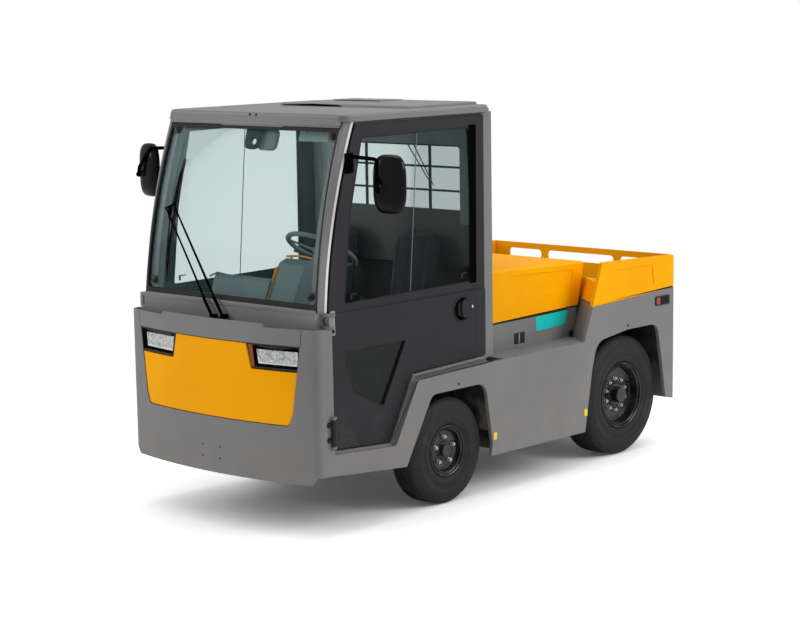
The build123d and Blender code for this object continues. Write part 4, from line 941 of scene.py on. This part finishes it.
def band(shape, corners, width, x0, x1):
    """Strip round an outline in (y, z), from x0 out to x1; a positive width lies inside it."""
    outer = rounded(corners, 4)
    middle = sum(outer, Vector((0, 0))) / len(outer)
    inner = []
    for i, p in enumerate(outer):
        before, after = outer[i - 1], outer[(i + 1) % len(outer)]
        along = (after - before).normalized()
        normal = Vector((-along.y, along.x))
        if normal.dot(middle - p) < 0:
            normal = -normal
        inner.append(p + normal * width)
    soft = min(1.0, abs(x1 - x0) / 3)
    pairs = list(zip(outer, inner))
    rings = [[(x0, *p) for p in outer], [(x1 - soft, *p) for p in outer],
             [(x1, *p.lerp(q, 0.2)) for p, q in pairs], [(x1, *p.lerp(q, 0.8)) for p, q in pairs],
             [(x1 - soft, *p) for p in inner], [(x0, *p) for p in inner]]
    return shape.rings(rings + rings[:1], caps=False)


def side_line(shape, points, width, x0, x1):
    """Thin strip along a line of (y, z) on a side face."""
    for a, b in zip(points, points[1:]):
        start, end = Vector(a), Vector(b)
        along = (end - start).normalized()
        off = Vector((-along.y, along.x)) * width / 2
        ring = [start - off, end - off, end + off, start + off]
        shape.rings([[(x, *p) for p in ring] for x in (x0, x1)])
    return shape


def make_door_trim(side):
    seal = band(Shape(), WINDOW, 7, SEAL_FACE, DOOR_HIGH + 1.2)
    band(seal, LOW_WINDOW, 6, SEAL_FACE, DOOR_LOW + 1.2)
    on_door(seal, "door_seals", "seal_rubber", "seal_rubber", side)
    catches = Shape()
    for y, z in ((-672, 1148), (150, 1163)):
        catches.plate(oblong(48, 5, 2), 0, 4, on_side(PANE_FACE, y, z + 11), 1)
        catches.plate(oblong(10, 26, 3), 0, 6, on_side(PANE_FACE, y - 20, z), 1)
    on_door(catches, "window_latches", "trim_black", "trim_black", side)
    strip = Shape().plate(REAR_STRIP, 0.2, 1.8, on_side(DOOR_HIGH, 0, 0), 0.5)
    on_door(strip, "window_strip", "deep_black", "seal_rubber", side)
    sliding = side_line(Shape(), [(-262, 1121), (-196, 1909)], 4, PANE_FACE, PANE_FACE + 2.5)
    on_door(sliding, "sliding_edge", "pane_edge", "seal_rubber", side)
    lines = Shape()
    for face, proud, width, points in DOOR_LINES:
        side_line(lines, points, width, face - 1, face + proud)
    on_door(lines, "door_lines", "seal_rubber", "seal_rubber", side)
    spot = on_side(DOOR_LOW, 122, 992)
    ring = [(68, -1), (68, 2.5), (65, 4.5), (62, 4), (57, -4), (57.5, -5)]
    latch = Shape().turned(ring, spot, 56, caps=False)
    latch.plate(oblong(62, 94, 28), -9, 12, spot @ Matrix.Translation((22, 0, 0)), 5)
    on_door(latch, "door_latch", "door_dark", "trim_black", side)
    recess = Shape().turned([(57.6, -9.9), (57.6, -9.2), (4, -9.2)], spot, 48)
    on_door(recess, "latch_recess", "deep_black", "trim_black", side)
    barrel = [(8, -0.5), (8, 1.6), (7, 2.4), (3.4, 2.4), (3, 1.2)]
    key = Shape().turned(barrel, on_side(DOOR_LOW, 206, 996), 24)
    on_door(key, "door_key", "bright_steel", "bright_steel", side)
    straps, bolts = Shape(), Shape()
    for z0, z1 in ((455, 585), (976, 1098)):
        middle, span = (z0 + z1) / 2, z1 - z0 - 4
        straps.plate(oblong(34, span, 5), 0, 5.5, on_side(DOOR_LOW + 0.2, -836, middle), 1.2)
        for dz in (-span * 0.33, span * 0.33):
            bolts.bolt(on_side(DOOR_LOW + 5.7, -834, middle + dz), 7, 4)
    straps.turned([(13.6, 0), (13.6, 42)], Matrix.Translation((HINGE_AT.x, HINGE_AT.y, 1035)), 24)
    straps.block((618, HINGE_AT.y + 4, 1035), (HINGE_AT.x + 6, HINGE_AT.y + 32.5, 1077), 3)
    on_door(straps, "door_straps", "hinge_grey", "body_grey", side)
    on_door(bolts, "door_bolts", "trim_black", "trim_black", side)


for hand in HAND:
    make_door_trim(hand)
print("door trim made")

# %% [markdown]
# The cushions are foam under a woven cover. Each starts as a plain crowned block, a little too small, and a
# short cloth simulation with inner pressure swells it until its sides pull in between its corners, as a
# real cover does. Remeshing would lose fine seams, so the sewn channels come after it.


# %% Seat cushions
PAD_VOXEL, SWELL_FRAMES, SWELL_CAP = 0.008, 20, 0.012


def crowned_block(w, d, h, crown, n=28):
    """Block with a rounded rim and a crowned seat face, which points up."""
    shape = Shape()
    points, faces = [], []
    for sign in (1, -1):
        for i in range(n + 1):
            for j in range(n + 1):
                u, v = 2 * i / n - 1, 2 * j / n - 1
                fall = 1 - max(0.0, (max(abs(u), abs(v)) - 0.72) / 0.28) ** 2.2
                bow = crown * (1 - u * u) * (1 - v * v) if sign > 0 else 0
                even = max(abs(u), abs(v)) / max((u ** 4 + v ** 4) ** 0.25, 1e-6)
                points.append((u * even * w / 2, v * even * d / 2, sign * h / 2 * fall + bow))
    row = n + 1
    for side in (0, 1):
        for i in range(n):
            for j in range(n):
                a = side * row * row + i * row + j
                quad = (a, a + row, a + row + 1, a + 1)
                faces.append(quad if side == 0 else tuple(reversed(quad)))
    shape.add(points, faces)
    bmesh.ops.remove_doubles(shape.mesh, verts=shape.mesh.verts, dist=0.5)
    return shape


def baked(made):
    """Puts the result of the piece's modifiers into its mesh."""
    graph = bpy.context.evaluated_depsgraph_get()
    result = bpy.data.meshes.new_from_object(made.evaluated_get(graph))
    made.modifiers.clear()
    made.data = result


def swell(made):
    """Cloth simulation with inner pressure; no point moves further than the cap."""
    remesh = made.modifiers.new("even_cover", "REMESH")
    remesh.mode, remesh.voxel_size = "VOXEL", PAD_VOXEL
    baked(made)
    start = [v.co.copy() for v in made.data.vertices]
    cloth = made.modifiers.new("inner_pressure", "CLOTH")
    cloth.settings.quality, cloth.settings.mass = 4, 0.25
    cloth.settings.use_pressure, cloth.settings.uniform_pressure_force = True, 4.0
    cloth.settings.effector_weights.gravity = 0
    for frame_number in range(1, SWELL_FRAMES + 1):
        bpy.context.scene.frame_set(frame_number)
    baked(made)
    bpy.context.scene.frame_set(1)
    for v, before in zip(made.data.vertices, start):
        move = v.co - before
        v.co = before + move * min(1, SWELL_CAP / max(move.length, 1e-9))


def sew(made, matrix, w, channels):
    """Presses sewn channels into the seat face; channels are places across it, from -1 to 1."""
    to_pad = (TO_FRAME @ matrix).inverted()
    into = (TO_FRAME @ matrix).to_3x3() @ Vector((0, 0, 1))
    for v in made.data.vertices:
        place = to_pad @ v.co
        if place.z > 0:
            u = 2 * place.x / w
            v.co -= into * sum(5 * exp(-((u - c) / 0.04) ** 2) for c in channels)
    made.data.shade_smooth()


def cushion(name, w, d, h, crown, channels, matrix):
    shape = crowned_block(w - 18, d - 18, h - 18, crown)
    shape.mesh.transform(matrix)
    made = shape.piece(name, "seat_cloth", "seat_cloth", 60)
    swell(made)
    sew(made, matrix, w, channels)
    soften = made.modifiers.new("smooth_cover", "SUBSURF")
    soften.levels = soften.render_levels = 1
    return made


SEAT_Z = 712.0
ARM_REST = ((172, 60, 128), (176, 166, 134), (176, 196, 160), (176, 224, 270))
pads = []
for who, x in (("driver", 230.0), ("passenger", -350.0)):
    level = Matrix.Translation((x, -34, SEAT_Z + 177)) @ Matrix.Rotation(radians(-2.5), 4, "X")
    leaning = Matrix.Translation((x, 202, SEAT_Z + 445)) @ Matrix.Rotation(radians(79.8), 4, "X")
    pads.append(cushion(f"{who}_cushion", 372, 396, 104, 8, (-0.5, 0.5), level))
    pads.append(cushion(f"{who}_back", 356, 472, 72, 8, (-0.5, 0.5), leaning))
    base = Shape()
    base.block((x - 164, -170, SEAT_Z + 1), (x + 164, 140, SEAT_Z + 16), 6)
    for k in range(4):
        grow, low = 8 * (k % 2), SEAT_Z + 16 + k * 22
        base.block((x - 148 - grow, -156 - grow, low), (x + 148 + grow, 126 + grow, low + 22), 9)
    base.block((x - 164, -170, SEAT_Z + 104), (x + 164, 140, SEAT_Z + 118), 6)
    for side in HAND:
        rail = [(x - side * out, y, SEAT_Z + rise) for out, y, rise in ARM_REST]
        base.tube(rail, [8, 9, 9, 7], 10, 0.6)
    base.piece(f"{who}_seat_base", "cab_plastic", "cab_plastic", 40)
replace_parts(pads[0], "seats")
print("pads:", {pad.name: len(pad.data.polygons) for pad in pads})

# %% [markdown]
# The steering wheel is a thick moulded ring with finger bumps, three flat spokes and a padded hub.

# %% Steering wheel and dashboard
WHEEL_AT, WHEEL_R, LEAN = Vector((230, -496, 1330)), 178.0, radians(32)
wheel_place = Matrix.Translation(WHEEL_AT) @ Matrix.Rotation(-LEAN, 4, "X")
RING_STEPS, RING_SIDES, RING_THICK, FINGER_BUMP = 96, 12, 14.0, 1.2
SPOKE = ((30, -10), (70, -9), (120, -3), (172, 0))
ring_points = []
for k in range(RING_STEPS + 1):
    a = 2 * pi * k / RING_STEPS
    lump = RING_THICK - FINGER_BUMP * (k % 4 == 0)
    ring = []
    for j in range(RING_SIDES):
        b = 2 * pi * j / RING_SIDES
        reach = WHEEL_R + lump * cos(b)
        ring.append(wheel_place @ Vector((reach * cos(a), reach * sin(a), 11.5 * sin(b))))
    ring_points.append(ring)
wheel = Shape().rings(ring_points, caps=False)
for angle in (90, 210, 330):
    a = radians(angle)
    along = Vector((cos(a), sin(a), 0))
    path = [wheel_place @ (along * r + Vector((0, 0, z))) for r, z in SPOKE]
    wheel.tube(path, [20, 15, 13, 15], 12, 0.35)
wheel.turned([(40, -30), (44, -22), (44, -8), (38, 0), (24, 4), (4, 5)], wheel_place, 40)
wheel.turned([(10, -60), (10, -28)], wheel_place, 20)
wheel_piece = wheel.piece("steering_ring", "cab_plastic", "trim_black", 45, "steering_wheel_body")
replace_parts(wheel_piece, "steering_wheel")
print("steering wheel made")

# %% [markdown]
# The driver's console is a tall black housing with an orange edge line down one corner and across its top,
# as cab makers use to mark the fixed parts. A tilted panel with rocker switches faces the driver, and two
# stalks stand behind the wheel.

# %% Console, stalks and pedals
dash_face = facing((230, -648, 1245), (1, 0, 0), (0, -sin(0.35), cos(0.35)))
panel = Shape().plate(oblong(214, 84, 8), -2, 6, dash_face, 2.5)
for x in (-84, -58, 62, 88):
    panel.plate(oblong(20, 32, 3), 4, 10, dash_face @ Matrix.Translation((x, 0, 0)), 2)
for s in (-1, 1):
    stalk = [WHEEL_AT + Vector((s * d, -22 - d * 0.12, -42 + d * 0.22)) for d in (20, 60, 110, 150)]
    panel.tube(stalk, [7, 6, 6, 8], 12)
for x in (120, 330):
    panel.block((x - 42, -660, 448), (x + 42, -580, 458), 4)
    panel.tube([(x, -640, 455), (x, -675, 520), (x, -694, 700)], 9, 10)
panel.piece("driver_controls", "trim_black", "trim_black", 40)
display = Shape().plate(oblong(76, 52, 4), 5, 8.5, dash_face, 1)
display.piece("driver_display", "mirror_shell", "trim_black", 40)
edges = Shape().tube([(184, -763, 1268), (184, -790, 1210), (184, -822, 1145), (184, -852, 1086)], 9, 8)
edges.tube([(188, -700, 1316), (270, -692, 1322), (357, -700, 1316)], 5.5, 8)
edges.piece("console_edges", "edge_orange", "cab_plastic", 40)
covers_inside = Shape().block((-540, -905, 1081), (-215, -705, 1090), 8)
covers_inside.tube([(-200, -858, 1206), (-200, -806, 1218), (-200, -706, 1190), (-200, -702, 1090)], 5, 8)
covers_inside.tube([(-40, -856, 1212), (-40, -806, 1222), (-40, -708, 1194), (-40, -704, 1092)], 2.5, 8)
covers_inside.piece("dash_covers", "cab_plastic", "cab_plastic", 40)
print("console made")

# %% [markdown]
# Overhead, a bracket with a round eye holds the inside mirror at the head of the windscreen, and the roof
# carries two small screws in front, a thin black strip of painted shade for the shadow gap under the raised
# roof panel's front edge, and a hatch plate. A lip closes the gap between the roof and the pane.

# %% Roof and inside mirror
inside = Shape()
outline = rounded([(-62, 64, 6), (-50, -62, 34), (50, -62, 34), (62, 64, 6)], 6)
eye = Vector((12, -22))
hole = [eye + (p - eye).normalized() * 16 for p in outline]
loops = ((outline, 0), (outline, 6), (hole, 6), (hole, 0))
bracket_rings = [[(p.x, p.y, z) for p in ring] for ring, z in loops]
inside.rings(bracket_rings + bracket_rings[:1], screen_spot(-18, 1894, -40), caps=False)
inside.piece("mirror_bracket", "deep_black", "trim_black", 40)
inner_mirror = Shape().plate(oblong(132, 108, 30), 0, 18, screen_spot(64, 1880, -70), 5)
inner_mirror.piece("inside_mirror", "cab_plastic", "cab_plastic", 40)
Shape().block((-592, -734, 1957), (592, -729.6, 1970), 1).piece("brow_lip", "body_grey", "body_grey", 40)
# Painted shade: a thin black sheet in place of the shadow gap under the front edge of the raised roof panel.
SHADE_SLOT = ((-356, 2022), (84, 2022), (60, 2030), (-120, 2034), (-330, 2027))
roof_parts = Shape()
for x in (-14, 30):
    roof_parts.button(on_front(x, -731.5, 2008), 6, 3)
roof_parts.rings([[(x, y, z) for x, z in SHADE_SLOT] for y in (-171.4, -169.5)])
roof_parts.block((-267, 129.2, 2035.4), (72, 299, 2039.9), 2)
roof_parts.piece("roof_screws_hatch_and_shade_slot", "deep_black", "trim_black", 40)
print("roof details made")

# %% [markdown]
# The rest of the outside is small: the blank teal tag and the charging socket below the hood, blank
# stickers by the wheels, screws above the arches, bolts on the corner posts, black lines of painted shade in
# the gaps and recesses between the sheets, and the rear lamps.

# %% Tags, socket, stickers, screws and lamps
TAG = [(915, 763, 3), (1167, 773, 3), (1196, 850, 3), (908, 843, 3)]
BED_SIDE, POST_SIDE, SOCKET_Z, LAMP_Z = 474.0, 602.2, 745.0, 844.0


def side_plates(name, finish, slot, x, rows):
    """Plates on both sides; a row is (width, height, corner radius, low, high, y, z, soft edge)."""
    made = Shape()
    for width, height, corner, low, high, y, z, edge in rows:
        made.plate(oblong(width, height, corner), low, high, on_side(x, y, z), edge)
    made.mirror().piece(name, finish, slot, 30)


tag = Shape().plate(TAG, 0.2, 1.4, on_side(BED_SIDE, 0, 0), 0.3)
tag.mirror().piece("blank_tags", "tag_teal", "body_grey", 30)
side_plates("charging_socket", "trim_black", "trim_black", BED_SIDE, (
    (40, 54, 4, -6, -3, 744, SOCKET_Z, 1), (38, 54, 4, -6, -3, 790, SOCKET_Z, 1),
    (94, 60, 5, -9, -6.5, 766, SOCKET_Z, 1)))
side_plates("socket_bar", "hinge_grey", "body_grey", BED_SIDE, ((9, 54, 2, -6, -1, 768, SOCKET_Z, 1),))
side_plates("blank_stickers", "sticker_yellow", "body_yellow", HALF, (
    (26, 38, 2, 0.1, 0.9, 328, 304, 0.2), (26, 38, 2, 0.1, 0.9, 1112, 306, 0.2)))
screws = Shape()
for y, z in ((40, 622), (1505, 740)):
    screws.button(on_side(HALF, y, z), 7, 3.5)
for z in (487, 561):
    screws.bolt(on_side(HALF, -915, z), 10, 5)
screws.mirror().piece("side_screws", "trim_black", "trim_black", 30)
side_plates("pillar_hinge_plates", "hinge_grey", "body_grey", POST_SIDE, ((58, 72, 4, 0, 4, -910, 1056, 1),))

# Painted shade: thin black strips in the recessed strip on the rear flank, under the hood and under the
# door's flange, where shadow falls.
shade_lines = side_line(Shape(), [(1181, 899), (1949, 911)], 11, 655.8, 656.6)
side_line(shade_lines, [(404, 846), (1204, 852)], 7, 473.8, 474.6)
side_line(shade_lines, [(319, 703), (-269, 687), (-462, 425)], 6, 659.6, 660.4)
shade_lines.mirror().piece("painted_gap_shade", "seal_rubber", "seal_rubber", 30)

side_plates("marker_frames", "trim_black", "trim_black", HALF, ((136, 52, 6, 0, 7, 1835, LAMP_Z, 1.5),))
back = on_rear(540, 1950, 805)
red = Shape().plate(oblong(34, 38, 4), 6, 9, on_side(HALF, 1790, LAMP_Z), 1.2)
red.plate(oblong(58, 74, 5), 8, 12, back @ Matrix.Translation((-32, 0, 0)), 1.5)
clear = Shape()
for y in (1832, 1874):
    clear.plate(oblong(34, 38, 4), 6, 9, on_side(HALF, y, LAMP_Z), 1.2)
clear.plate(oblong(50, 74, 5), 8, 12, back @ Matrix.Translation((32, 0, 0)), 1.5)
tail_frame = Shape().plate(oblong(140, 90, 8), 0, 9, back, 2)
tail_frame.mirror().piece("tail_lamp_frames", "trim_black", "trim_black", 30)
red_piece = red.mirror().piece("red_lenses", "lamp_red", "lamp_red", 30)
clear.mirror().piece("grey_lenses", "mirror_shell", "trim_black", 30)
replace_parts(red_piece, "lamps")
print("outside details made")

# %% [markdown]
# The floor is pale and the background white, as in a studio. Light that only the camera sees lifts the
# floor to white where the sky above it is open, and leaves the soft shadow under the vehicle. Far from the
# vehicle the floor is plain white, so that no edge shows.


# %% Floor, backdrop and world
def glow(f, strength):
    return f.node("Emission", {"Color": (1.0, 1.0, 1.0), "Strength": strength})


def floor_finish():
    f = Finish("studio_floor")
    grain = f.noise(6.0, 3.0)
    f.wear(Base_Color=f.mix(grain, (0.86, 0.86, 0.86), (0.88, 0.88, 0.88)), Roughness=0.6 + grain * 0.1)
    seen = f.node("LightPath", {}, "Is Camera Ray")
    open_air = f.node("AmbientOcclusion", {"Distance": 1.1}, "AO", samples=16)
    lift = seen * (open_air.step(0.0, 0.9) * 0.5 + 0.035)
    near = f.node("AddShader", {0: Wire(f, f.shader.outputs["BSDF"]), 1: glow(f, lift)})
    far = f.node("VectorMath", {0: f.place()}, "Value", operation="LENGTH").step(2.1, 4.2)
    f.surface("MixShader", {0: seen * far, 1: near, 2: glow(f, 1.0)})


floor_finish()
floor_mesh = bmesh.new()
bmesh.ops.create_grid(floor_mesh, x_segments=8, y_segments=8, size=60)
floor_data = bpy.data.meshes.new("studio_floor")
floor_mesh.to_mesh(floor_data)
floor_mesh.free()
floor_data.materials.append(FINISHES["studio_floor"])
placed("studio_floor", floor_data)

world = bpy.data.worlds.new("studio")
bpy.context.scene.world = world
sky = Finish("studio", world)
rays = sky.node("LightPath", {}, "Is Camera Ray")
through = Wire(sky, rays.socket.node.outputs["Is Transmission Ray"])
sky.join(sky.nodes["Background"].inputs["Strength"], rays.sum("MAXIMUM", rays, through) * 0.5 + 0.5)
sky.join(sky.nodes["Background"].inputs["Color"], (1, 1, 1))
print("stage made")

# %% [markdown]
# Soft boxes light the scene: a large one high on the left lights the long side, a weaker one fills the
# nose, and one overhead lights the roof and the hood.


# %% Lamps
def soft_box(name, place, target, size, power):
    light = bpy.data.lights.new(name, "AREA")
    light.shape, light.size, light.size_y, light.energy = "RECTANGLE", *size, power
    lamp = placed(name, light)
    lamp.location = place
    lamp.rotation_euler = (Vector(target) - Vector(place)).to_track_quat("-Z", "Y").to_euler()


soft_box("side_box", (6.0, 2.6, 4.2), (0, 0.8, 0.9), (4.0, 3.0), 215)
soft_box("front_box", (-5.0, -6.0, 3.6), (0, -1.0, 0.9), (3.0, 3.0), 170)
soft_box("top_box", (0.0, 0.0, 6.0), (0, 0, 0), (4.0, 5.0), 130)
print("lamps set")
